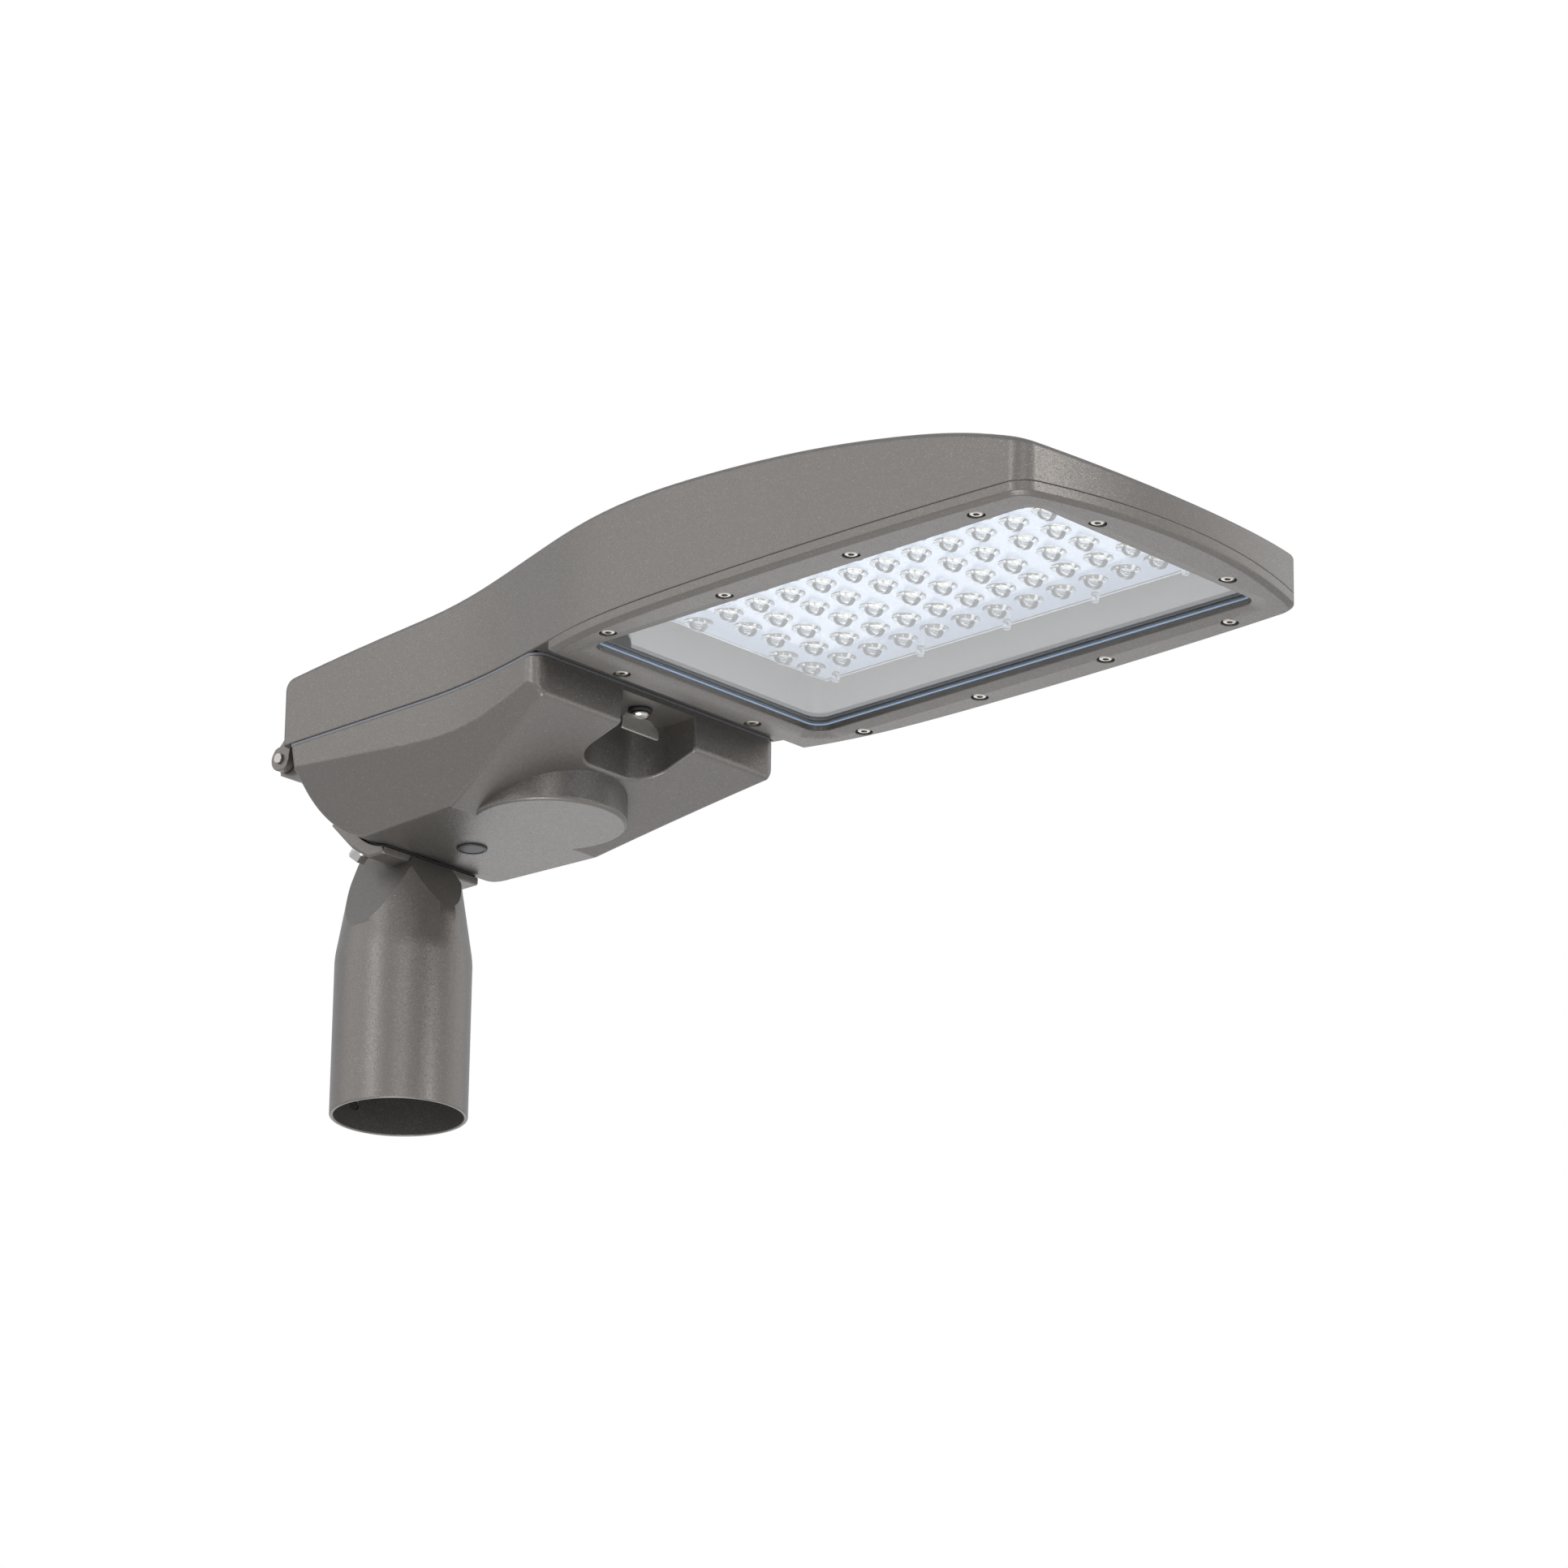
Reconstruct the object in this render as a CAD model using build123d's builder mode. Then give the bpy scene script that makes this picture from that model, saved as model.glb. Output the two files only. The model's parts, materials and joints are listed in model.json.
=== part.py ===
from build123d import *
import os
from math import acos, atan2, cos, degrees, hypot, radians, sin, sqrt

os.makedirs("parts", exist_ok=True)

# Millimetres. The origin is the centre of the pole socket's mouth, +X runs to the lamp's nose, +Z is up.

# Heights of the main planes
FRAME_Z = 210.0
FRAME_T = 8.1
SEAM = 2.1
GEAR_DEPTH = 58.6
PARTING_Z = FRAME_Z + FRAME_T
RIM_Z = PARTING_Z - SEAM
BELLY_Z = RIM_Z - GEAR_DEPTH

# Plan of the canopy: a narrow neck that flares into a gently bowed lamp head
REAR_X = -24.5
NECK_HALF = 84.0
NECK_FLARE = 0.018
FLARE_START = 95.0
FLARE_END = 300.0
LAMP_HALF = 124.4
BOW_X = 430.0
BOW_DROP = 4.0
BOW_LENGTH = 150.0
NOSE_X = 615.3
NOSE_R = 343.0
NOSE_CORNER_R = 15.0
REAR_CORNER_R = 4.0
WALL = 3.0

# Canopy profile, heights above the parting plane
REAR_RISE = 42.3
CROWN = [(67, 50.2), (125, 54.3), (190, 60.2), (250, 63.5), (315, 64.9), (380, 62.2)]
CROWN += [(443, 56.5), (503, 47.9), (560, 35.5), (600, 21.9)]
NOSE_RISE = 15.0
CROWN_EDGE_R = 4.0
REAR_TOP_R = 8.0

# Lower gear housing
GEAR_REAR_X = -17.5
GEAR_FRONT_X = 210.0
GEAR_CORNER_R = 9.0
GEAR_WALL = 3.0
TILT_X = 28.0
BELLY_R = 41.1
CREASE_X = 100.0
FRONT_FACET_Z = RIM_Z - 24.0
FACET_REAR = (-40.0, 53.3, 1.55)
FACET_FRONT = (216.0, 69.0, 1.22)
FACET_FILLET = 4.0
BOSS_X = 120.0
BOSS_R = 47.0
BOSS_EDGE_R = 2.8

# Latch recess in the front of the gear housing
RECESS_HALF = 31.0
RECESS_BACK_X = 169.0
RECESS_CORNER_R = 18.0
RECESS_TOP_Z = RIM_Z - 3.0
RECESS_WALL = 2.5

# Rear hinge between housing and canopy
HINGE_X = -30.0
HINGE_Z = RIM_Z - 3.5
HINGE_PIN_R = 2.5
HINGE_RUN = 0.05
HINGE_EAR_R = 7.5
HINGE_LUG_R = 6.5
HINGE_LUG_Y = (60.0, 73.4)
HINGE_EAR_Y = (74.0, 80.0)
HINGE_HEAD_R = 3.2
HINGE_HEAD_T = 1.6

# Glass frame, glass and its gasket
FRAME_REAR_X = 224.6
FRAME_CORNER_R = 11.0
FRAME_CHAMFER = (3.0, 2.2)
OPEN_X = (247.0, 583.0)
OPEN_HALF = 97.0
OPEN_CORNER_R = 10.0
SLOPE_RUN = 9.0
SLOPE_RISE = 1.75
GLASS_LIP_Z = FRAME_Z + 5.7
GASKET_T = 0.8
GLASS_T = 4.0
GLASS_LAP = 5.2
GASKET_EDGE = 0.4
FRAME_SCREWS_X = (273.4, 364.5, 460.6, 552.5)
FRAME_SCREWS_Y = (55.6, 56.0)
SCREWS_FROM_SIDE = 12.0
SCREWS_FROM_REAR = 14.3
SCREWS_FROM_NOSE = 11.2
SCREW_R = 2.5
SCREW_HEAD_R = 4.4
SCREW_HEAD_H = 3.4
SCREW_POCKET_R = 5.3
SCREW_POCKET_DEPTH = 3.9
SCREW_LENGTH = 16.0
HEX_KEY = 4.0
HEX_DEPTH = 2.2
SCREW_GAP = 0.25
SCREW_BOSS_R = 5.5

# Light engine
LENS_PLATE_Z = 240.0
LENS_PLATE_T = 2.0
LENS_PLATE_X = (272.0, 551.0)
LENS_PLATE_HALF = 84.5
LENS_PITCH = 24.15
LENS_X = 275.0
OUTER_ROWS = (36.3, 60.5)
OUTER_COUNT = 12
INNER_ROW = 12.0
INNER_X = 291.3
INNER_PAIR_PITCH = 52.8
INNER_PAIRS = 5
LENS_R = 10.6
LENS_TOP_R = 5.2
LENS_H = 6.2
LENS_SIDES = 10
SCALLOP_R = 11.0
CHIP = 3.5
CHIP_T = 0.7
BOARD_T = 1.6
PAD_T = 0.6
PEG_R = 4.0
PEG_H = 7.0
PEG_Y = 77.6
PEG_X = 279.0
PEG_PITCH = 66.8
PEG_COUNT = 5
BOARD_EDGE = 3.0
BOARD_Z = LENS_PLATE_Z + LENS_PLATE_T + CHIP_T
PAD_Z = BOARD_Z + BOARD_T
PEDESTAL_Z = PAD_Z + PAD_T
PEDESTAL_T = 5.0
PEDESTAL_RIB = 4.0
PEDESTAL_RIBS = 5
TRAY_X = (245.8, 584.2)
TRAY_HALF = 96.6
TRAY_T = 1.0
TRAY_LIP_Z = FRAME_Z + 11.6
TRAY_TOP_Z = FRAME_Z + 41.5
TRAY_NOSE_Z = FRAME_Z + 27.0
TRAY_SLOPE_X = 556.0

# Pole socket, neck and cradle
SOCKET_BORE_R = 39.0
SOCKET_WALL = 2.5
SOCKET_DEPTH = 94.0
NECK_BASE_Z = 98.0
NECK_TOP_Z = 168.0
NECK_TOP_R = 30.0
NECK_FLAT_TOP = 11.0
NECK_FLAT_SLOPE = 0.5
NECK_FRONT_TOP = 15.8
CRADLE_HALF = 40.5
CRADLE_CLEAR = 0.3
CRADLE_PAD_T = 1.2
CRADLE_FRONT_X = 21.5
CRADLE_BASE_Z = BELLY_Z - 6.0
CRADLE_STEP = (8.3, -5.5)
CRADLE_REAR_ANGLE = 160.0
CRADLE_SEAT_R = 51.0
CRADLE_CHAMFER = 1.2
CABLE_R = 8.0
TILT_RANGE = 15.0
BOLT_ANGLE = 135.0
BOLT_Y = 30.0
BOLT_R = 3.0
BOLT_HEX = 10.0
BOLT_HEAD_H = 5.2
WASHER_R = 6.4
WASHER_T = 1.4
CLAMP_T = 4.0
CLAMP_HALF = 38.0
CLAMP_ANGLES = (106.0, 160.0)
GRUB_R = 4.0
GRUB_Z = (16.0, 58.0)
GRUB_PAD_R = 8.0
GRUB_PAD_T = 4.0

FLOOR_T = 6.0
PARTITION_X = 222.0
PARTITION_T = 4.0
WEB_T = 3.0

# Gear inside the housing
GEAR_TRAY_Z = RIM_Z - 10.0
GEAR_TRAY_T = 2.0
GEAR_TRAY_X = (0.0, 160.0)
GEAR_TRAY_HALF = 72.0
GEAR_POST_R = 5.0
GEAR_POSTS = ((8.0, 50.0), (152.0, 60.0))
POST_SCREW_R = 2.0
POST_SCREW_HEAD = (3.6, 2.4)
DRIVER_BOX = (120.0, 70.0, 34.0)
DRIVER_XY = (84.0, -22.0)
DRIVER_FLANGE = 8.0
DRIVER_FLANGE_T = 3.0
SURGE_BOX = (48.0, 34.0, 26.0)
SURGE_XY = (120.0, 46.0)
TERMINAL_BOX = (50.0, 24.0, 18.0)
TERMINAL_XY = (52.0, 46.0)
TERMINAL_WAYS = 3
CLAMP_BAR = (10.0, 34.0, 8.0)
CLAMP_BAR_XY = (20.0, 36.0)
EARTH_XY = (20.0, 62.0)
SENSOR_X = 56.0
SENSOR_R = 9.25
SENSOR_RIM = 1.7
SENSOR_STEM_R = 6.0
SENSOR_T = 1.2
SENSOR_POCKET = 0.8
SENSOR_NUT = 4.0

GROMMET_YZ = (46.0, 238.0)
GROMMET_R = 6.5
GROMMET_BORE_R = 4.0
GROMMET_LIP = 1.8

GLAND_HEX_R = 9.0
GLAND_CAP_R = 6.5
GLAND_BORE_R = 4.0
GLAND_HEX_H = 5.0
GLAND_CAP_H = 7.0
PAD_ANGLES = (100.0, 150.0)
SHOULDER_R = 60.0
GASKET_INSET = 0.8
GASKET_W = 1.8

# Quarter-turn latch
LATCH_X = 194.0
LATCH_HEAD_R = 5.6
LATCH_HEAD_T = 2.6
LATCH_PIN_R = 4.0
LATCH_SEAL_R = 7.2
LATCH_SEAL_T = 2.4
LATCH_EDGE = 0.7
LATCH_WING = (1.6, 31.0, 10.5)
LATCH_WING_ENDS = (5.5, 7.0)
LATCH_WING_TOP = (8.0, -12.0)
LATCH_WING_R = 1.2
LATCH_CAM = (33.0, 8.0, 3.0)
LATCH_CAM_GAP = 0.4

TILT_Z = BELLY_Z + BELLY_R
WEB_X = GEAR_FRONT_X - 3.0
LEDGE_X = GEAR_REAR_X + GEAR_WALL
GLASS_Z = GLASS_LIP_Z + GASKET_T
GLASS_TOP_Z = GLASS_Z + GLASS_T + GASKET_T
SEAT_GROW = GLASS_LAP + GASKET_EDGE + 0.1
PEDESTAL_X = (LENS_X - 8, LENS_PLATE_X[1] + 1)
PEDESTAL_HALF = LENS_PLATE_HALF - 3
SOCKET_R = SOCKET_BORE_R + SOCKET_WALL
PAD_OUTER_R = BELLY_R + CRADLE_CLEAR + CRADLE_PAD_T


def smooth(t):
    """A soft step from 0 to 1."""
    t = min(max(t, 0.0), 1.0)
    return t * t * (3 - 2 * t)


def half_width(x):
    """Half the canopy's width at station x."""
    neck = NECK_HALF + NECK_FLARE * (x - REAR_X)
    bow = LAMP_HALF - BOW_DROP * ((x - BOW_X) / BOW_LENGTH) ** 2
    share = smooth((x - FLARE_START) / (FLARE_END - FLARE_START))
    return neck + share * (bow - neck)


def side_points(start, end, count, inset):
    """Stations along the side, each at the canopy's half width less the inset."""
    xs = [start + (end - start) * i / (count - 1) for i in range(count)]
    return [(x, half_width(x) - inset) for x in xs]


def nose_corner(inset):
    """Where the side line meets the nose arc."""
    y = half_width(NOSE_X - 20) - inset
    r = NOSE_R - inset
    return NOSE_X - inset - r + sqrt(r * r - y * y), y


def lamp_plan(rear_x, inset, count):
    """Closed plan with a straight rear edge, bowed sides and a round nose."""
    corner_x, corner_y = nose_corner(inset)
    points = side_points(rear_x + inset, corner_x, count, inset)
    points[-1] = (corner_x, corner_y)
    with BuildSketch() as plan:
        with BuildLine():
            Spline(*points)
            ThreePointArc((corner_x, corner_y), (NOSE_X - inset, 0), (corner_x, -corner_y))
            Spline(*[(x, -y) for x, y in points])
            Line((points[0][0], -points[0][1]), points[0])
        make_face()
        ends = plan.vertices().sort_by(Axis.X)
        fillet(ends[-2:], NOSE_CORNER_R - inset)
        if REAR_CORNER_R > inset and rear_x == REAR_X:
            fillet(ends[:2], REAR_CORNER_R - inset)
        if rear_x > REAR_X:
            fillet(ends[:2], FRAME_CORNER_R - inset)
    return plan.sketch


def crown_side(inset):
    """Side view of the canopy over its whole length, as a sketch in X and Z."""
    top = [(x, PARTING_Z + h - inset) for x, h in CROWN]
    rear = (REAR_X + inset, PARTING_Z + REAR_RISE - inset)
    nose = (NOSE_X + 2, PARTING_Z + NOSE_RISE - inset)
    floor_z = PARTING_Z - 2 * inset
    with BuildSketch() as side:
        with BuildLine():
            Spline(rear, *top, nose)
            Polyline(nose, (nose[0], floor_z), (rear[0], floor_z), rear)
        make_face()
        rear_top = side.vertices().sort_by(Axis.X)[:2].sort_by(Axis.Y)[-1]
        fillet(rear_top, REAR_TOP_R - inset)
    return side.sketch


def across(y):
    """Plane that faces -Y, at the given y."""
    return Plane.XZ.offset(-y)


def rectangle_between(xs, half, grow, corner):
    """A rounded rectangle centred on the X axis, grown on all sides."""
    with BuildSketch() as window:
        with Locations(((xs[0] + xs[1]) / 2, 0)):
            RectangleRounded(xs[1] - xs[0] + 2 * grow, 2 * (half + grow), corner)
    return window.sketch


def at_angle(radius, angle):
    """Point around the tilt axis, the angle in degrees from +X, downwards to the rear."""
    return TILT_X + radius * cos(radians(angle)), TILT_Z - radius * sin(radians(angle))


def arc_band(inner, outer, start, end):
    """Sketch in X and Z of a ring sector around the tilt axis."""
    middle = (start + end) / 2
    with BuildSketch() as band:
        with BuildLine():
            ThreePointArc(at_angle(inner, start), at_angle(inner, middle), at_angle(inner, end))
            ThreePointArc(at_angle(outer, start), at_angle(outer, middle), at_angle(outer, end))
            Line(at_angle(inner, start), at_angle(outer, start))
            Line(at_angle(inner, end), at_angle(outer, end))
        make_face()
    return band.sketch


def gear_plan(inset):
    """Plan of the gear housing: a straight rear edge, flared sides and a straight front."""
    points = side_points(GEAR_REAR_X + inset, GEAR_FRONT_X - inset, 9, inset)
    with BuildSketch() as plan:
        with BuildLine():
            Spline(*points)
            Line(points[-1], (points[-1][0], -points[-1][1]))
            Spline(*[(x, -y) for x, y in points])
            Line((points[0][0], -points[0][1]), points[0])
        make_face()
        fillet(plan.vertices().sort_by(Axis.X)[-2:], GEAR_CORNER_R - inset)
    return plan.sketch


def gear_form(inset, lift):
    """The gear housing's outer form, or its core when it is set in from all walls."""
    rear = GEAR_REAR_X
    reach = hypot(rear - TILT_X, RIM_Z - TILT_Z)
    towards_rim = degrees(atan2(RIM_Z - TILT_Z, rear - TILT_X))
    tangent = 360 - towards_rim - degrees(acos(BELLY_R / reach))
    with BuildPart() as form:
        with BuildSketch(Plane.XY.offset(BELLY_Z - 1)):
            add(gear_plan(inset))
        extrude(amount=GEAR_DEPTH + 1 + lift)
        with BuildSketch(Plane.XZ.offset(-LAMP_HALF)):
            with BuildLine():
                start = at_angle(BELLY_R, tangent)
                top_z = RIM_Z + lift + inset
                lean = (rear - start[0]) / (RIM_Z - start[1])
                rear_top = (start[0] + lean * (top_z - start[1]), top_z)
                ThreePointArc(start, at_angle(BELLY_R, (tangent + 90) / 2), at_angle(BELLY_R, 90))
                Polyline(
                    at_angle(BELLY_R, 90),
                    (CREASE_X, BELLY_Z),
                    (GEAR_FRONT_X, FRONT_FACET_Z),
                    (GEAR_FRONT_X, top_z),
                    rear_top,
                    start,
                )
            make_face()
            if inset > 0:
                offset(amount=-inset, kind=Kind.INTERSECTION)
        extrude(amount=2 * LAMP_HALF, mode=Mode.INTERSECT)
        for side in (1, -1):
            for x, foot, slope in (FACET_REAR, FACET_FRONT):
                shift = inset * sqrt(1 + slope * slope) / slope
                far = 140.0
                low = BELLY_Z - 4
                foot_low = foot - shift - 4 / slope
                with BuildSketch(Plane.YZ.offset(x)):
                    Polygon(
                        (side * foot_low, low),
                        (side * far, low + slope * (far - foot_low)),
                        (side * far, low),
                        align=None,
                    )
            loft(ruled=True, mode=Mode.SUBTRACT)
    return form.part


def recess_plan(grow):
    """D-shaped plan of the latch recess, open at the housing's front wall."""
    back = RECESS_BACK_X - grow
    half = RECESS_HALF + grow
    front = GEAR_FRONT_X + 10
    with BuildSketch() as plan:
        with Locations(((back + front) / 2, 0)):
            Rectangle(front - back, 2 * half)
        fillet(plan.vertices().sort_by(Axis.X)[:2], RECESS_CORNER_R + grow)
    return plan.sketch


def frame_screw_points():
    """Plan positions of the twelve frame screws."""
    side_y = OPEN_HALF + SCREWS_FROM_SIDE
    rear_y, nose_y = FRAME_SCREWS_Y
    points = [(x, side * side_y) for x in FRAME_SCREWS_X for side in (1, -1)]
    points += [(OPEN_X[1] + SCREWS_FROM_NOSE, side * nose_y) for side in (1, -1)]
    points += [(OPEN_X[0] - SCREWS_FROM_REAR, side * rear_y) for side in (1, -1)]
    return points


def lens_points():
    """Plan positions of all lenses: four full rows and a middle pair of rows in twos."""
    points = []
    for row in OUTER_ROWS:
        for i in range(OUTER_COUNT):
            points += [(LENS_X + i * LENS_PITCH, row), (LENS_X + i * LENS_PITCH, -row)]
    for pair in range(INNER_PAIRS):
        for i in range(2):
            x = INNER_X + pair * INNER_PAIR_PITCH + i * LENS_PITCH
            points += [(x, INNER_ROW), (x, -INNER_ROW)]
    return points


def peg_points():
    """Plan positions of the clear pegs that hold the lens plate."""
    points = []
    for i in range(PEG_COUNT):
        points += [(PEG_X + i * PEG_PITCH, PEG_Y), (PEG_X + i * PEG_PITCH, -PEG_Y)]
    return points


def finish(piece, name):
    """Labels the piece and writes its file."""
    piece.part.label = name
    export_step(piece.part, f"parts/{name}.step")


# Canopy: die-cast shell, open below, with a floor ring, screw bosses and a heat-sink pedestal
with BuildPart() as canopy_outer:
    with BuildSketch(Plane.XY.offset(PARTING_Z)):
        add(lamp_plan(REAR_X, 0, 14))
    extrude(amount=90)
    with BuildSketch(Plane.XZ.offset(-LAMP_HALF)):
        add(crown_side(0))
    extrude(amount=2 * LAMP_HALF, mode=Mode.INTERSECT)
    rim_edges = canopy_outer.edges().filter_by(GeomType.BSPLINE)
    rim_edges = rim_edges.filter_by(lambda e: e.center().Z > PARTING_Z + 2 and e.length > 30)
    fillet(rim_edges, CROWN_EDGE_R)

with BuildPart() as canopy_core:
    with BuildSketch(Plane.XY.offset(PARTING_Z - 1)):
        add(lamp_plan(REAR_X, WALL, 14))
    extrude(amount=90)
    with BuildSketch(Plane.XZ.offset(-LAMP_HALF)):
        add(crown_side(WALL))
    extrude(amount=2 * LAMP_HALF, mode=Mode.INTERSECT)


screws = frame_screw_points()

# Gear compartment of the canopy: open below, stepped at the rear ledge and at the front web
with BuildPart() as gear_space:
    add(canopy_core.part)
    with Locations((LEDGE_X, 0, PARTING_Z - 5)):
        Box(400, 400, 5 + WEB_T, align=(Align.MAX, Align.CENTER, Align.MIN), mode=Mode.SUBTRACT)
    with Locations((WEB_X, 0, PARTING_Z - 5)):
        Box(800, 400, 5 + WEB_T, align=(Align.MIN, Align.CENTER, Align.MIN), mode=Mode.SUBTRACT)
    with Locations((PARTITION_X, 0, PARTING_Z - 5)):
        Box(800, 400, 200, align=(Align.MIN, Align.CENTER, Align.MIN), mode=Mode.SUBTRACT)

# Lamp compartment of the canopy, above the floor ring
with BuildPart() as lamp_space:
    add(canopy_core.part)
    with Locations((PARTITION_X + PARTITION_T, 0, PARTING_Z - 5)):
        Box(800, 400, 200, align=(Align.MAX, Align.CENTER, Align.MIN), mode=Mode.SUBTRACT)
    with Locations((0, 0, PARTING_Z - 5)):
        Box(1600, 400, 5 + FLOOR_T, align=(Align.CENTER, Align.CENTER, Align.MIN), mode=Mode.SUBTRACT)

# Pedestal plate and ribs that carry the board's heat to the roof
with BuildPart() as pedestal:
    with BuildSketch(Plane.XY.offset(PEDESTAL_Z)):
        add(rectangle_between(PEDESTAL_X, PEDESTAL_HALF, 0, 4.0))
    extrude(amount=PEDESTAL_T)
    rib_pitch = 2 * (PEDESTAL_HALF - PEDESTAL_RIB) / (PEDESTAL_RIBS - 1)
    with BuildSketch(Plane.XY.offset(PEDESTAL_Z + PEDESTAL_T)):
        with Locations(((PEDESTAL_X[0] + PEDESTAL_X[1]) / 2, 0)):
            with GridLocations(1, rib_pitch, 1, PEDESTAL_RIBS):
                Rectangle(PEDESTAL_X[1] - PEDESTAL_X[0] - 8, PEDESTAL_RIB)
    extrude(amount=80)
    add(canopy_core.part.moved(Location((0, 0, WALL / 2))), mode=Mode.INTERSECT)

with BuildPart() as canopy:
    add(canopy_outer.part)
    add(gear_space.part, mode=Mode.SUBTRACT)
    add(lamp_space.part, mode=Mode.SUBTRACT)
    with BuildSketch(Plane.XY.offset(PARTING_Z)):
        add(rectangle_between(OPEN_X, OPEN_HALF, 1.5, OPEN_CORNER_R))
    extrude(amount=FLOOR_T + 1, mode=Mode.SUBTRACT)
    with BuildSketch(Plane.XY.offset(PARTING_Z)):
        add(rectangle_between(OPEN_X, OPEN_HALF, SEAT_GROW, OPEN_CORNER_R))
    extrude(amount=GLASS_TOP_Z - PARTING_Z, mode=Mode.SUBTRACT)
    add(pedestal.part)
    # screw bosses on the floor ring
    boss_top = FRAME_Z + SCREW_POCKET_DEPTH + SCREW_LENGTH + 1
    with BuildSketch(Plane.XY.offset(PARTING_Z + FLOOR_T - 1)):
        with Locations(*screws):
            Circle(SCREW_BOSS_R)
        add(rectangle_between(OPEN_X, OPEN_HALF, 2.0, OPEN_CORNER_R), mode=Mode.SUBTRACT)
    extrude(amount=boss_top + 2 - PARTING_Z - FLOOR_T)
    with BuildSketch(Plane.XY.offset(PARTING_Z)):
        with Locations(*screws):
            Circle(SCREW_R + SCREW_GAP)
    extrude(amount=boss_top - PARTING_Z, mode=Mode.SUBTRACT)
    with BuildSketch(Plane.YZ.offset(PARTITION_X)):
        with Locations(GROMMET_YZ):
            Circle(GROMMET_R)
    extrude(amount=PARTITION_T, mode=Mode.SUBTRACT)
    # ears of the rear hinge
    for high in (HINGE_EAR_Y[1], -HINGE_EAR_Y[0]):
        with BuildSketch(across(high)):
            with BuildLine():
                Polyline(
                    (HINGE_X - HINGE_EAR_R, HINGE_Z),
                    (REAR_X, HINGE_Z + 13),
                    (REAR_X + WALL, HINGE_Z + 13),
                    (REAR_X + WALL, PARTING_Z),
                    (HINGE_X + HINGE_EAR_R, HINGE_Z),
                    close=True,
                )
            make_face()
            with Locations((HINGE_X, HINGE_Z)):
                Circle(HINGE_EAR_R)
                Circle(HINGE_PIN_R + HINGE_RUN, mode=Mode.SUBTRACT)
        extrude(amount=HINGE_EAR_Y[1] - HINGE_EAR_Y[0])
finish(canopy, "canopy")

# Gear housing: faceted casting with a round boss, a latch recess, belly slots, hinge lugs and tray posts
with BuildPart() as gear_outer:
    add(gear_form(0, 0))
    low_edges = gear_outer.edges().filter_by(lambda e: e.center().Z < RIM_Z - 1)
    fillet(low_edges, FACET_FILLET)

with BuildPart() as gear_posts:
    with BuildSketch(Plane.XY.offset(BELLY_Z)):
        with Locations(*[(x, side * y) for x, y in GEAR_POSTS for side in (1, -1)]):
            Circle(GEAR_POST_R)
    extrude(amount=GEAR_TRAY_Z - BELLY_Z)
    add(gear_outer.part, mode=Mode.INTERSECT)

with BuildPart() as boss:
    with BuildSketch(Plane.XY.offset(BELLY_Z)):
        with Locations((BOSS_X, 0)):
            Circle(BOSS_R)
    extrude(amount=FRONT_FACET_Z - BELLY_Z)
    fillet(boss.edges().group_by(Axis.Z)[0], BOSS_EDGE_R)

with BuildPart() as recess_shell:
    with BuildSketch(Plane.XY.offset(BELLY_Z)):
        add(recess_plan(RECESS_WALL))
    extrude(amount=RIM_Z - BELLY_Z)
    add(gear_outer.part, mode=Mode.INTERSECT)

slot_half = degrees((BOLT_R + SCREW_GAP) / BELLY_R) + TILT_RANGE
cable_angle = degrees(acos(-TILT_X / BELLY_R))
cable_half = degrees((CABLE_R + 2) / BELLY_R / sin(radians(cable_angle))) + TILT_RANGE

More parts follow.
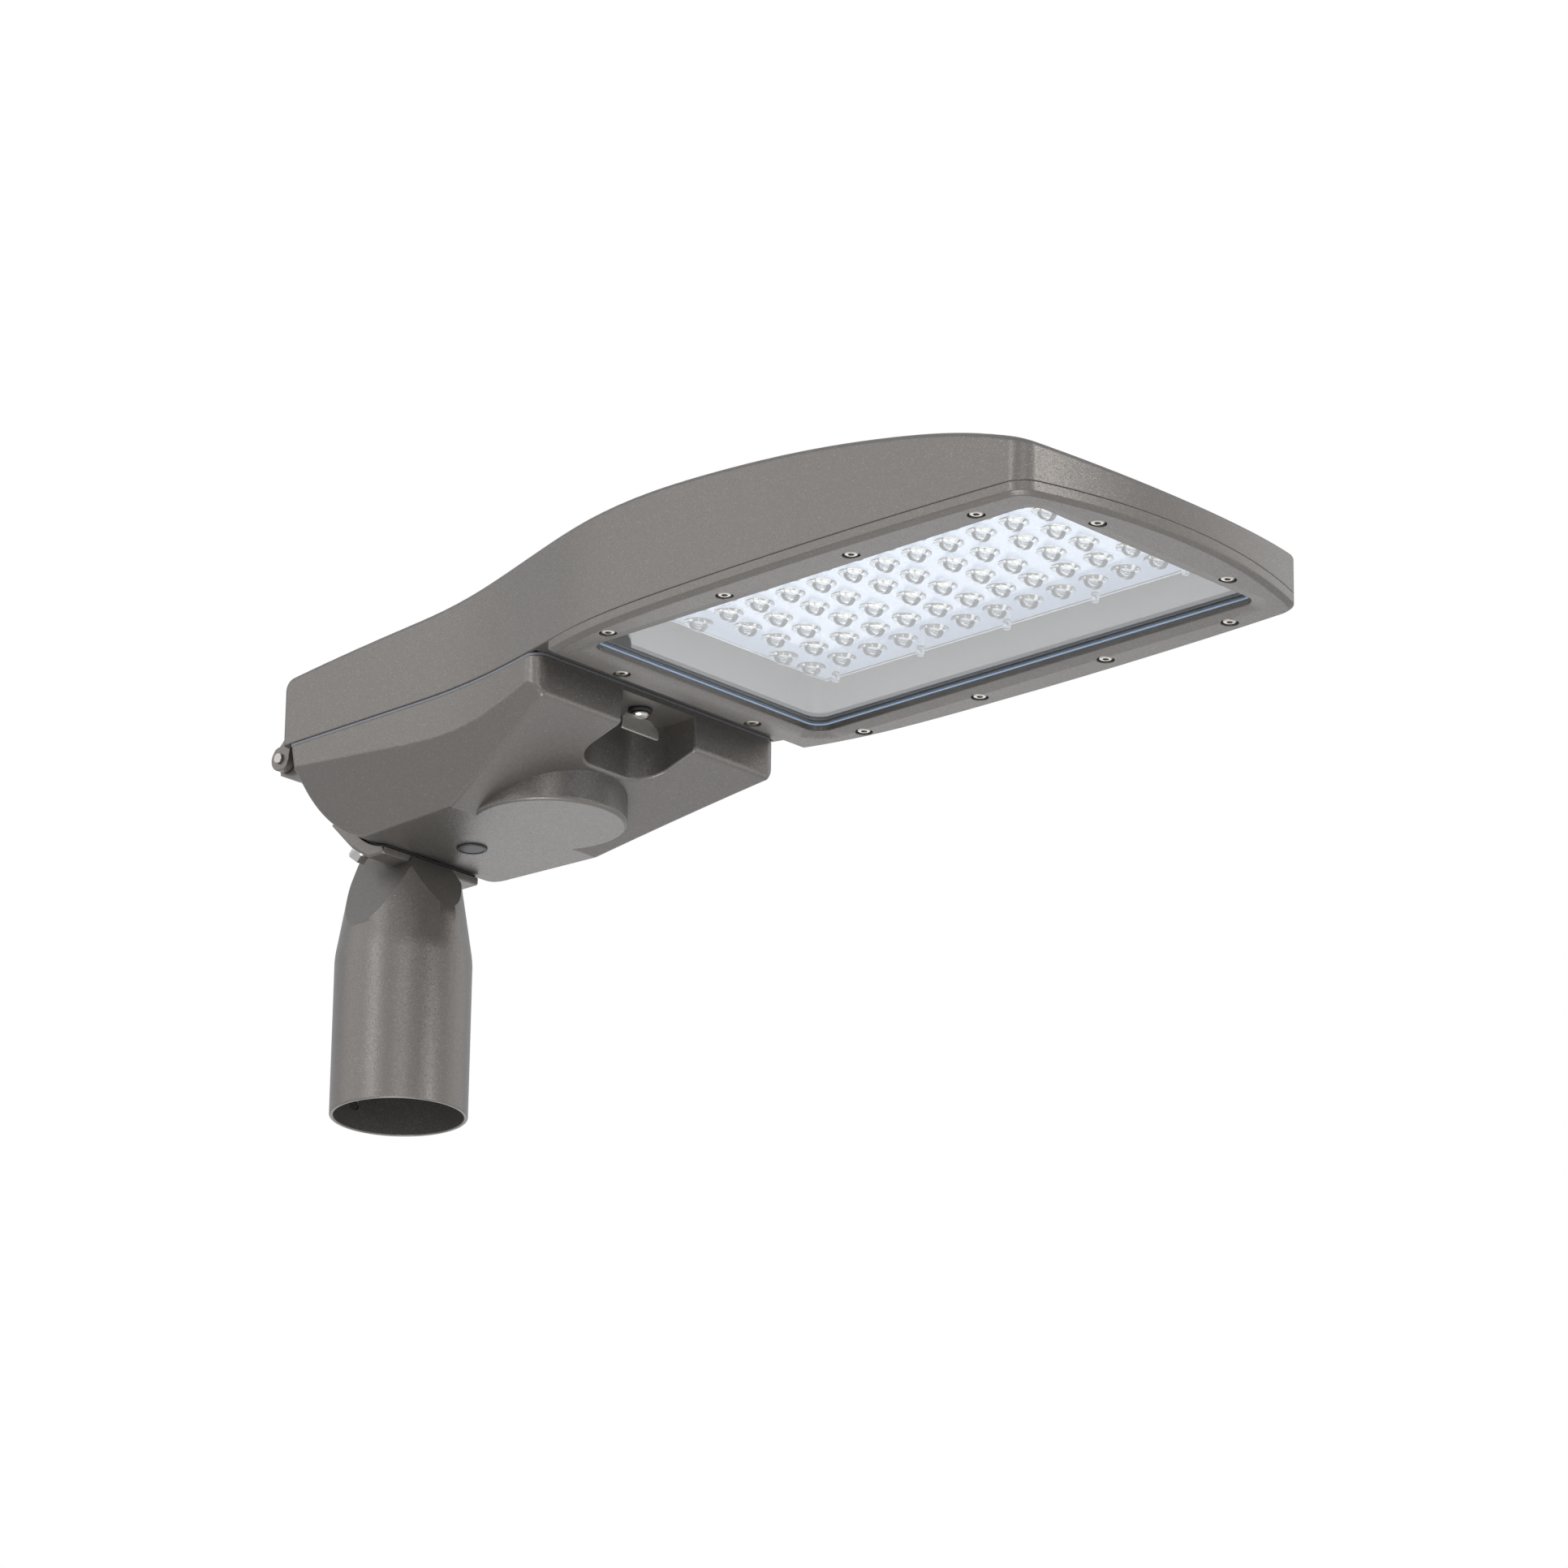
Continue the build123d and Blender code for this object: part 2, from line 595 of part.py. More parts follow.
with BuildPart() as gear_housing:
    add(gear_outer.part)
    add(boss.part)
    add(gear_form(GEAR_WALL, GEAR_WALL), mode=Mode.SUBTRACT)
    with BuildSketch(Plane.XY.offset(BELLY_Z + GEAR_WALL)):
        with Locations((BOSS_X, 0)):
            Circle(BOSS_R - GEAR_WALL)
    extrude(amount=FRONT_FACET_Z - BELLY_Z, mode=Mode.SUBTRACT)
    add(recess_shell.part)
    with BuildSketch(Plane.XY.offset(BELLY_Z - 1)):
        add(recess_plan(0))
    extrude(amount=RECESS_TOP_Z - BELLY_Z + 1, mode=Mode.SUBTRACT)
    add(gear_posts.part)
    with BuildSketch(Plane.XY.offset(GEAR_TRAY_Z)):
        with Locations(*[(x, side * y) for x, y in GEAR_POSTS for side in (1, -1)]):
            Circle(POST_SCREW_R)
    extrude(amount=-12, mode=Mode.SUBTRACT)
    with BuildSketch(Plane.XY.offset(RIM_Z)):
        with Locations((LATCH_X, 0)):
            Circle(LATCH_PIN_R + HINGE_RUN)
    extrude(amount=-8, mode=Mode.SUBTRACT)
    with BuildSketch(Plane.XY.offset(BELLY_Z)):
        with Locations((SENSOR_X, 0)):
            Circle(SENSOR_STEM_R)
    extrude(amount=GEAR_WALL + 1, mode=Mode.SUBTRACT)
    # curved slots for the tilt bolts and the supply cable
    for centre_y, half_y, middle, half_angle in (
        (BOLT_Y, BOLT_R + SCREW_GAP, BOLT_ANGLE, slot_half),
        (-BOLT_Y, BOLT_R + SCREW_GAP, BOLT_ANGLE, slot_half),
        (0, CABLE_R + 1, cable_angle, cable_half),
    ):
        with BuildSketch(across(centre_y + half_y)):
            add(arc_band(BELLY_R - 6, BELLY_R + 4, middle - half_angle, middle + half_angle))
        extrude(amount=2 * half_y, mode=Mode.SUBTRACT)
    # lugs of the rear hinge
    for high in (HINGE_LUG_Y[1], -HINGE_LUG_Y[0]):
        with BuildSketch(across(high)):
            with BuildLine():
                Polyline(
                    (HINGE_X - HINGE_LUG_R, HINGE_Z),
                    (HINGE_X - HINGE_LUG_R + 1, HINGE_Z - 8),
                    (GEAR_REAR_X + 4.5, HINGE_Z - 18),
                    (GEAR_REAR_X + 2, HINGE_Z),
                    (HINGE_X, HINGE_Z + HINGE_LUG_R),
                    close=True,
                )
            make_face()
            with Locations((HINGE_X, HINGE_Z)):
                Circle(HINGE_LUG_R)
                Circle(HINGE_PIN_R, mode=Mode.SUBTRACT)
        extrude(amount=HINGE_LUG_Y[1] - HINGE_LUG_Y[0])
finish(gear_housing, "gear_housing")

# Glass frame: chamfered ring with a sloped sight edge, a rebate for the glass and screw pockets
with BuildPart() as glass_frame:
    with BuildSketch(Plane.XY.offset(FRAME_Z)):
        add(lamp_plan(FRAME_REAR_X, 0, 9))
    extrude(amount=FRAME_T)
    run, rise = FRAME_CHAMFER
    chamfer(glass_frame.faces().sort_by(Axis.Z)[0].edges(), rise, run)
    with BuildSketch(Plane.XY.offset(FRAME_Z)):
        add(rectangle_between(OPEN_X, OPEN_HALF, SLOPE_RUN, OPEN_CORNER_R + SLOPE_RUN))
    with BuildSketch(Plane.XY.offset(FRAME_Z + SLOPE_RISE)):
        add(rectangle_between(OPEN_X, OPEN_HALF, 0, OPEN_CORNER_R))
    loft(mode=Mode.SUBTRACT)
    with BuildSketch(Plane.XY.offset(FRAME_Z)):
        add(rectangle_between(OPEN_X, OPEN_HALF, 0, OPEN_CORNER_R))
    extrude(amount=FRAME_T, mode=Mode.SUBTRACT)
    with BuildSketch(Plane.XY.offset(GLASS_LIP_Z)):
        add(rectangle_between(OPEN_X, OPEN_HALF, SEAT_GROW, OPEN_CORNER_R))
    extrude(amount=FRAME_T, mode=Mode.SUBTRACT)
    with Locations(Plane.XY.offset(FRAME_Z) * Rot(180, 0, 0)):
        with Locations(*[(x, -y) for x, y in screws]):
            CounterBoreHole(SCREW_R + SCREW_GAP, SCREW_POCKET_R, SCREW_POCKET_DEPTH, FRAME_T)
finish(glass_frame, "glass_frame")

# Frame screws: socket-head screws sunk in their pockets
with BuildPart() as frame_screws:
    seat_z = FRAME_Z + SCREW_POCKET_DEPTH
    with BuildSketch(Plane.XY.offset(seat_z - SCREW_HEAD_H)):
        with Locations(*screws):
            Circle(SCREW_HEAD_R)
            RegularPolygon(HEX_KEY / sqrt(3), 6, mode=Mode.SUBTRACT)
    extrude(amount=HEX_DEPTH)
    with BuildSketch(Plane.XY.offset(seat_z - SCREW_HEAD_H + HEX_DEPTH)):
        with Locations(*screws):
            Circle(SCREW_HEAD_R)
    extrude(amount=SCREW_HEAD_H - HEX_DEPTH)
    with BuildSketch(Plane.XY.offset(seat_z)):
        with Locations(*screws):
            Circle(SCREW_R)
    extrude(amount=SCREW_LENGTH)
finish(frame_screws, "frame_screws")

# Flat tempered glass and the channel gasket round its edge
glass_corner = OPEN_CORNER_R - 1
with BuildPart() as glass:
    with BuildSketch(Plane.XY.offset(GLASS_Z)):
        add(rectangle_between(OPEN_X, OPEN_HALF, GLASS_LAP, glass_corner))
    extrude(amount=GLASS_T)
finish(glass, "glass")

with BuildPart() as glass_gasket:
    with BuildSketch(Plane.XY.offset(GLASS_LIP_Z)):
        add(rectangle_between(OPEN_X, OPEN_HALF, GLASS_LAP + GASKET_EDGE, OPEN_CORNER_R))
        add(rectangle_between(OPEN_X, OPEN_HALF, 0.6, OPEN_CORNER_R), mode=Mode.SUBTRACT)
    extrude(amount=GLASS_TOP_Z - GLASS_LIP_Z)
    add(glass.part, mode=Mode.SUBTRACT)
finish(glass_gasket, "glass_gasket")

# Light-grey tray that lines the lamp compartment, with a window for the pedestal
def tray_form(inset):
    """Block that fills the tray from its lip to its sloped ceiling."""
    xs = (TRAY_X[0] + inset, TRAY_X[1] - inset)
    half = TRAY_HALF - inset
    with BuildPart() as form:
        with BuildSketch(across(half)):
            with BuildLine():
                Polyline(
                    (xs[0], TRAY_LIP_Z - inset),
                    (xs[0], TRAY_TOP_Z - inset),
                    (TRAY_SLOPE_X, TRAY_TOP_Z - inset),
                    (xs[1], TRAY_NOSE_Z - inset),
                    (xs[1], TRAY_LIP_Z - inset),
                    close=True,
                )
            make_face()
        extrude(amount=2 * half)
        fillet(form.edges().filter_by(Axis.Z), OPEN_CORNER_R - inset)
    return form.part


with BuildPart() as reflector_tray:
    add(tray_form(0))
    add(tray_form(TRAY_T), mode=Mode.SUBTRACT)
    with BuildSketch(Plane.XY.offset(PEDESTAL_Z)):
        add(rectangle_between(PEDESTAL_X, PEDESTAL_HALF, 0.5, 4.5))
    extrude(amount=30, mode=Mode.SUBTRACT)
finish(reflector_tray, "reflector_tray")

# Board, chips, thermal pad, lens plate and the pegs that hold it
lenses = lens_points()
pegs = peg_points()
board_window = (PEDESTAL_X[0] + BOARD_EDGE, PEDESTAL_X[1] - BOARD_EDGE)
board_half = PEDESTAL_HALF - BOARD_EDGE

with BuildPart() as thermal_pad:
    with BuildSketch(Plane.XY.offset(PAD_Z)):
        add(rectangle_between(board_window, board_half, -2, 3.0))
    extrude(amount=PAD_T)
finish(thermal_pad, "thermal_pad")

with BuildPart() as led_board:
    with BuildSketch(Plane.XY.offset(BOARD_Z)):
        add(rectangle_between(board_window, board_half, 0, 3.0))
    extrude(amount=BOARD_T)
finish(led_board, "led_board")

with BuildPart() as led_chips:
    with BuildSketch(Plane.XY.offset(LENS_PLATE_Z + LENS_PLATE_T)):
        with Locations(*lenses):
            Rectangle(CHIP, CHIP)
    extrude(amount=CHIP_T)
finish(led_chips, "led_chips")

with BuildPart() as lens_plate:
    with BuildSketch(Plane.XY.offset(LENS_PLATE_Z)):
        add(rectangle_between(LENS_PLATE_X, LENS_PLATE_HALF, 0, 4.0))
        with Locations(*[(x, y) for x, y in lenses if x < LENS_PLATE_X[0] + SCALLOP_R]):
            Circle(SCALLOP_R)
        with Locations(*pegs):
            Circle(PEG_R, mode=Mode.SUBTRACT)
    extrude(amount=LENS_PLATE_T)
    for top_r, low_r, top_z, height in (
        (LENS_R, LENS_R, LENS_PLATE_Z, LENS_H * 0.4),
        (LENS_R, LENS_TOP_R, LENS_PLATE_Z - LENS_H * 0.4, LENS_H * 0.6),
    ):
        with BuildSketch(Plane.XY.offset(top_z)):
            with Locations(*lenses):
                RegularPolygon(top_r, LENS_SIDES)
        extrude(amount=-height, taper=degrees(atan2(top_r - low_r, height)))
finish(lens_plate, "lens_plate")

with BuildPart() as lens_pegs:
    with BuildSketch(Plane.XY.offset(BOARD_Z)):
        with Locations(*pegs):
            RegularPolygon(PEG_R - 0.1, 12)
    extrude(amount=-(PEG_H + LENS_PLATE_T))
finish(lens_pegs, "lens_pegs")

# Housing gasket on the rim, under the canopy's edge
with BuildPart() as housing_gasket:
    with BuildSketch(Plane.XY.offset(RIM_Z)):
        add(gear_plan(GASKET_INSET))
        add(gear_plan(GASKET_INSET + GASKET_W), mode=Mode.SUBTRACT)
    extrude(amount=SEAM)
finish(housing_gasket, "housing_gasket")

# Hinge pins, fixed in the lugs, with a head outside each ear
with BuildPart() as hinge_pins:
    pin_end = HINGE_EAR_Y[1] + 0.4
    for side in (1, -1):
        with BuildSketch(across(side * HINGE_LUG_Y[0])):
            with Locations((HINGE_X, HINGE_Z)):
                Circle(HINGE_PIN_R)
        extrude(amount=-side * (pin_end - HINGE_LUG_Y[0]))
        with BuildSketch(across(side * pin_end)):
            with Locations((HINGE_X, HINGE_Z)):
                Circle(HINGE_HEAD_R)
        extrude(amount=-side * HINGE_HEAD_T)
finish(hinge_pins, "hinge_pins")

# Pole socket, wedge neck and cradle in one casting
bolt_x, bolt_z = at_angle(1, BOLT_ANGLE)
seat_cut = Plane(
    origin=(TILT_X, 0, TILT_Z),
    x_dir=(0, 1, 0),
    z_dir=(bolt_x - TILT_X, 0, bolt_z - TILT_Z),
)

with BuildPart() as neck:
    with BuildSketch(Plane.XZ):
        with BuildLine():
            Polyline(
                (0, 0),
                (SOCKET_R, 0),
                (SOCKET_R, NECK_BASE_Z),
                (NECK_TOP_R, NECK_TOP_Z),
                (0, NECK_TOP_Z),
                close=True,
            )
        make_face()
    revolve(axis=Axis.Z)
    fillet(neck.edges().filter_by(GeomType.CIRCLE).group_by(Axis.Z)[1], SHOULDER_R)
    drop = NECK_TOP_Z - NECK_BASE_Z
    clear_of_neck = 2 * SOCKET_R
    for side in (1, -1):
        with BuildSketch(Plane.YZ.offset(-clear_of_neck)):
            Polygon(
                (side * NECK_FLAT_TOP, NECK_TOP_Z),
                (side * (NECK_FLAT_TOP + NECK_FLAT_SLOPE * drop), NECK_BASE_Z),
                (side * clear_of_neck, NECK_BASE_Z),
                (side * clear_of_neck, NECK_TOP_Z),
                align=None,
            )
        extrude(amount=2 * clear_of_neck, mode=Mode.SUBTRACT)
    with BuildSketch(across(clear_of_neck)):
        Polygon(
            (NECK_FRONT_TOP, NECK_TOP_Z),
            (NECK_FRONT_TOP + NECK_FLAT_SLOPE * drop, NECK_BASE_Z),
            (clear_of_neck, NECK_BASE_Z),
            (clear_of_neck, NECK_TOP_Z),
            align=None,
        )
    extrude(amount=2 * clear_of_neck, mode=Mode.SUBTRACT)

with BuildPart() as cradle:
    step_x, seat_x = CRADLE_STEP
    seat_cos = cos(radians(BOLT_ANGLE))
    seat_sin = sin(radians(BOLT_ANGLE))
    seat_z = TILT_Z - (CRADLE_SEAT_R - (seat_x - TILT_X) * seat_cos) / seat_sin
    rear_r = CRADLE_SEAT_R / cos(radians(CRADLE_REAR_ANGLE - BOLT_ANGLE))
    with BuildSketch(across(CRADLE_HALF)):
        Polygon(
            (CRADLE_FRONT_X, TILT_Z - BELLY_R + 2),
            (CRADLE_FRONT_X, CRADLE_BASE_Z),
            (step_x, CRADLE_BASE_Z),
            (seat_x, seat_z),
            at_angle(rear_r, CRADLE_REAR_ANGLE),
            at_angle(BELLY_R - 3, CRADLE_REAR_ANGLE),
            align=None,
        )
    extrude(amount=2 * CRADLE_HALF)
    low_edges = cradle.edges().filter_by(lambda e: e.center().Z < BELLY_Z)
    chamfer(low_edges.filter_by(lambda e: abs(e.center().Y) > CRADLE_HALF - 1), CRADLE_CHAMFER)

with BuildPart() as spigot:
    add(neck.part)
    add(cradle.part)
    with BuildSketch(Plane.YZ.offset(-SOCKET_BORE_R)):
        with Locations(*[(0, z) for z in GRUB_Z]):
            Circle(GRUB_PAD_R)
    extrude(amount=-(SOCKET_WALL + GRUB_PAD_T))
    with BuildSketch(across(60)):
        with Locations((TILT_X, TILT_Z)):
            Circle(PAD_OUTER_R)
    extrude(amount=120, mode=Mode.SUBTRACT)
    with BuildSketch():
        Circle(SOCKET_BORE_R)
    extrude(amount=SOCKET_DEPTH, mode=Mode.SUBTRACT)
    with BuildSketch():
        Circle(CABLE_R)
    extrude(amount=TILT_Z, mode=Mode.SUBTRACT)
    with BuildSketch(Plane.YZ.offset(-SOCKET_R - GRUB_PAD_T - 1)):
        with Locations(*[(0, z) for z in GRUB_Z]):
            Circle(GRUB_R)
    extrude(amount=SOCKET_WALL + GRUB_PAD_T + 6, mode=Mode.SUBTRACT)
    with BuildSketch(seat_cut.offset(CRADLE_SEAT_R + 6)):
        with Locations((BOLT_Y, 0), (-BOLT_Y, 0)):
            Circle(BOLT_R + SCREW_GAP)
    extrude(amount=-16, mode=Mode.SUBTRACT)
finish(spigot, "spigot")

with BuildPart() as cradle_pad:
    with BuildSketch(across(CLAMP_HALF)):
        add(arc_band(BELLY_R + CRADLE_CLEAR, PAD_OUTER_R - CRADLE_CLEAR, *PAD_ANGLES))
    extrude(amount=2 * CLAMP_HALF)
    with BuildSketch(seat_cut.offset(CRADLE_SEAT_R)):
        with Locations((BOLT_Y, 0), (-BOLT_Y, 0)):
            Circle(BOLT_R + SCREW_GAP)
    extrude(amount=-12, mode=Mode.SUBTRACT)
    with BuildSketch():
        Circle(CABLE_R)
    extrude(amount=TILT_Z, mode=Mode.SUBTRACT)
finish(cradle_pad, "cradle_pad")

# Clamp plate inside the belly, drawn up by the two tilt bolts
clamp_outer_r = BELLY_R - GEAR_WALL - CRADLE_CLEAR
clamp_inner_r = clamp_outer_r - CLAMP_T
with BuildPart() as clamp_plate:
    with BuildSketch(across(CLAMP_HALF)):
        add(arc_band(clamp_inner_r, clamp_outer_r, *CLAMP_ANGLES))
    extrude(amount=2 * CLAMP_HALF)
    with BuildSketch(seat_cut.offset(CRADLE_SEAT_R)):
        with Locations((BOLT_Y, 0), (-BOLT_Y, 0)):
            Circle(BOLT_R)
        Circle(CABLE_R)
    extrude(amount=-CRADLE_SEAT_R + 10, mode=Mode.SUBTRACT)
finish(clamp_plate, "clamp_plate")

with BuildPart() as tilt_washers:
    with BuildSketch(seat_cut.offset(CRADLE_SEAT_R)):
        with Locations((BOLT_Y, 0), (-BOLT_Y, 0)):
            Circle(WASHER_R)
            Circle(BOLT_R, mode=Mode.SUBTRACT)
    extrude(amount=WASHER_T)
finish(tilt_washers, "tilt_washers")

with BuildPart() as tilt_bolts:
    with BuildSketch(seat_cut.offset(CRADLE_SEAT_R + WASHER_T)):
        with Locations((BOLT_Y, 0), (-BOLT_Y, 0)):
            RegularPolygon(BOLT_HEX / sqrt(3), 6)
    extrude(amount=BOLT_HEAD_H)
    with BuildSketch(seat_cut.offset(CRADLE_SEAT_R + WASHER_T)):
        with Locations((BOLT_Y, 0), (-BOLT_Y, 0)):
            Circle(BOLT_R)
    extrude(amount=-(CRADLE_SEAT_R + WASHER_T - clamp_inner_r + 1))
finish(tilt_bolts, "tilt_bolts")

# Cable gland on the clamp plate, over the cable hole
gland_seat = sqrt(clamp_inner_r**2 - GLAND_HEX_R**2)
with BuildPart() as cable_gland:
    with BuildSketch(seat_cut.offset(gland_seat)):
        Circle(CABLE_R - 0.1)
    extrude(amount=clamp_outer_r - gland_seat - 0.3)
    with BuildSketch(seat_cut.offset(gland_seat)):
        RegularPolygon(GLAND_HEX_R, 6)
    extrude(amount=-GLAND_HEX_H)
    with BuildSketch(seat_cut.offset(gland_seat - GLAND_HEX_H)):
        Circle(GLAND_CAP_R)
    extrude(amount=-GLAND_CAP_H, taper=6)
    with BuildSketch(seat_cut.offset(clamp_outer_r)):
        Circle(GLAND_BORE_R)
    extrude(amount=-30, mode=Mode.SUBTRACT)
finish(cable_gland, "cable_gland")

with BuildPart() as grub_screws:
    with BuildSketch(Plane.YZ.offset(-SOCKET_BORE_R - 0.4)):
        with Locations(*[(0, z) for z in GRUB_Z]):
            Circle(GRUB_R)
    extrude(amount=-(SOCKET_WALL + GRUB_PAD_T - 1.4))
    with BuildSketch(Plane.YZ.offset(-SOCKET_R - GRUB_PAD_T)):
        with Locations(*[(0, z) for z in GRUB_Z]):
            RegularPolygon(HEX_KEY / sqrt(3), 6)
    extrude(amount=4, mode=Mode.SUBTRACT)
finish(grub_screws, "grub_screws")

# Sensor in the belly: bezel with its stem, and a flush window
with BuildPart() as sensor_bezel:
    with BuildSketch(Plane.XY.offset(BELLY_Z - SENSOR_T)):
        with Locations((SENSOR_X, 0)):
            Circle(SENSOR_R)
    extrude(amount=SENSOR_T)
    chamfer(sensor_bezel.edges().group_by(Axis.Z)[0], 0.5)
    with BuildSketch(Plane.XY.offset(BELLY_Z - SENSOR_T)):
        with Locations((SENSOR_X, 0)):
            Circle(SENSOR_R - SENSOR_RIM)
    extrude(amount=SENSOR_POCKET, mode=Mode.SUBTRACT)
    with BuildSketch(Plane.XY.offset(BELLY_Z)):
        with Locations((SENSOR_X, 0)):
            Circle(SENSOR_STEM_R)
    extrude(amount=GEAR_WALL)
    with BuildSketch(Plane.XY.offset(BELLY_Z + GEAR_WALL)):
        with Locations((SENSOR_X, 0)):
            Circle(SENSOR_R)
    extrude(amount=SENSOR_NUT)
finish(sensor_bezel, "sensor_bezel")

with BuildPart() as sensor_window:
    with BuildSketch(Plane.XY.offset(BELLY_Z - SENSOR_T + SENSOR_POCKET)):
        with Locations((SENSOR_X, 0)):
            Circle(SENSOR_R - SENSOR_RIM)
    extrude(amount=-SENSOR_POCKET + 0.3)
finish(sensor_window, "sensor_window")

# Quarter-turn latch: seal, head with its wing, pin and cam
head_top = RECESS_TOP_Z - LATCH_SEAL_T
cam_z = PARTING_Z + WEB_T + LATCH_CAM_GAP
with BuildPart() as latch_seal:
    with BuildSketch(Plane.XY.offset(RECESS_TOP_Z)):
        with Locations((LATCH_X, 0)):
            Circle(LATCH_SEAL_R)
            Circle(LATCH_PIN_R + HINGE_RUN, mode=Mode.SUBTRACT)
    extrude(amount=-LATCH_SEAL_T)
    chamfer(latch_seal.edges().group_by(Axis.Z)[0].sort_by(SortBy.RADIUS)[-1], LATCH_EDGE)
finish(latch_seal, "latch_seal")

with BuildPart() as latch_pin:
    with BuildSketch(Plane.XY.offset(head_top - HINGE_RUN)):
        with Locations((LATCH_X, 0)):
            Circle(LATCH_HEAD_R)
    extrude(amount=-LATCH_HEAD_T)
    chamfer(latch_pin.edges().group_by(Axis.Z)[0], LATCH_EDGE)
    with BuildSketch(Plane.XY.offset(head_top - HINGE_RUN)):
        with Locations((LATCH_X, 0)):
            Circle(LATCH_PIN_R)
    extrude(amount=cam_z - head_top + HINGE_RUN)
finish(latch_pin, "latch_pin")

with BuildPart() as latch_wing:
    wing_t, wing_w, wing_h = LATCH_WING
    wing_top = head_top - HINGE_RUN - LATCH_HEAD_T
    with BuildSketch(Plane.YZ.offset(LATCH_X - wing_t / 2)):
        with BuildLine():
            Polyline(
                (-wing_w / 2, wing_top - wing_h),
                (wing_w / 2, wing_top - wing_h),
                (wing_w / 2, wing_top - wing_h + LATCH_WING_ENDS[0]),
                (LATCH_WING_TOP[0], wing_top),
                (LATCH_WING_TOP[1], wing_top),
                (-wing_w / 2, wing_top - wing_h + LATCH_WING_ENDS[1]),
                close=True,
            )
        make_face()
    extrude(amount=wing_t)
    fillet(latch_wing.edges().filter_by(Axis.X), LATCH_WING_R)
finish(latch_wing, "latch_wing")

with BuildPart() as latch_cam:
    with BuildSketch(Plane.XY.offset(cam_z)):
        with Locations((LATCH_X, 0)):
            SlotOverall(LATCH_CAM[0], LATCH_CAM[1], rotation=90)
    extrude(amount=LATCH_CAM[2])
finish(latch_cam, "latch_cam")

# Rubber grommet where the wires pass the partition
with BuildPart() as wire_grommet:
    with BuildSketch(Plane.YZ.offset(PARTITION_X - GROMMET_LIP)):
        with Locations(GROMMET_YZ):
            Circle(GROMMET_R + GROMMET_LIP)
    extrude(amount=GROMMET_LIP)
    with BuildSketch(Plane.YZ.offset(PARTITION_X)):
        with Locations(GROMMET_YZ):
            Circle(GROMMET_R)
    extrude(amount=PARTITION_T)
    with BuildSketch(Plane.YZ.offset(PARTITION_X + PARTITION_T)):
        with Locations(GROMMET_YZ):
            Circle(GROMMET_R + GROMMET_LIP)
    extrude(amount=GROMMET_LIP)
    with BuildSketch(Plane.YZ.offset(PARTITION_X - GROMMET_LIP)):
        with Locations(GROMMET_YZ):
            Circle(GROMMET_BORE_R)
    extrude(amount=PARTITION_T + 2 * GROMMET_LIP, mode=Mode.SUBTRACT)
finish(wire_grommet, "wire_grommet")

# Gear tray on the housing's posts, with driver, surge protector, terminals and cable clamp
tray_top = GEAR_TRAY_Z + GEAR_TRAY_T
post_points = [(x, side * y) for x, y in GEAR_POSTS for side in (1, -1)]
driver_reach = (DRIVER_BOX[0] + DRIVER_FLANGE) / 2
driver_holes = [(DRIVER_XY[0] + side * driver_reach, DRIVER_XY[1]) for side in (1, -1)]
with BuildPart() as gear_tray:
    with BuildSketch(Plane.XY.offset(GEAR_TRAY_Z)):
        with Locations(((GEAR_TRAY_X[0] + GEAR_TRAY_X[1]) / 2, 0)):
            RectangleRounded(GEAR_TRAY_X[1] - GEAR_TRAY_X[0], 2 * GEAR_TRAY_HALF, 6)
        with Locations(*post_points, *driver_holes):
            Circle(POST_SCREW_R, mode=Mode.SUBTRACT)
        with Locations((GEAR_TRAY_X[0], 0)):
            Circle(CABLE_R * 2, mode=Mode.SUBTRACT)
    extrude(amount=GEAR_TRAY_T)
finish(gear_tray, "gear_tray")

with BuildPart() as tray_screws:
    head_r, head_h = POST_SCREW_HEAD
    with BuildSketch(Plane.XY.offset(tray_top)):
        with Locations(*post_points):
            Circle(head_r)
    extrude(amount=head_h)
    with BuildSketch(Plane.XY.offset(tray_top)):
        with Locations(*post_points):
            Circle(POST_SCREW_R)
    extrude(amount=-10)
finish(tray_screws, "tray_screws")

with BuildPart() as driver:
    length, width, height = DRIVER_BOX
    with BuildSketch(Plane.XY.offset(tray_top)):
        with Locations(DRIVER_XY):
            RectangleRounded(length + 2 * DRIVER_FLANGE, width - 16, 3)
    extrude(amount=DRIVER_FLANGE_T)
    with BuildSketch(Plane.XY.offset(tray_top)):
        with Locations(DRIVER_XY):
            Rectangle(length, width)
    extrude(amount=height)
    chamfer(driver.edges().group_by(Axis.Z)[-1], 2)
    with BuildSketch(Plane.XY.offset(tray_top)):
        with Locations(*driver_holes):
            Circle(POST_SCREW_R)
    extrude(amount=DRIVER_FLANGE_T, mode=Mode.SUBTRACT)
finish(driver, "driver")

with BuildPart() as driver_screws:
    with BuildSketch(Plane.XY.offset(tray_top + DRIVER_FLANGE_T)):
        with Locations(*driver_holes):
            Circle(POST_SCREW_HEAD[0])
    extrude(amount=POST_SCREW_HEAD[1])
    with BuildSketch(Plane.XY.offset(tray_top + DRIVER_FLANGE_T)):
        with Locations(*driver_holes):
            Circle(POST_SCREW_R)
    extrude(amount=-DRIVER_FLANGE_T - GEAR_TRAY_T - 2)
finish(driver_screws, "driver_screws")

with BuildPart() as surge_protector:
    length, width, height = SURGE_BOX
    with BuildSketch(Plane.XY.offset(tray_top)):
        with Locations(SURGE_XY):
            RectangleRounded(length, width, 4)
    extrude(amount=height)
finish(surge_protector, "surge_protector")

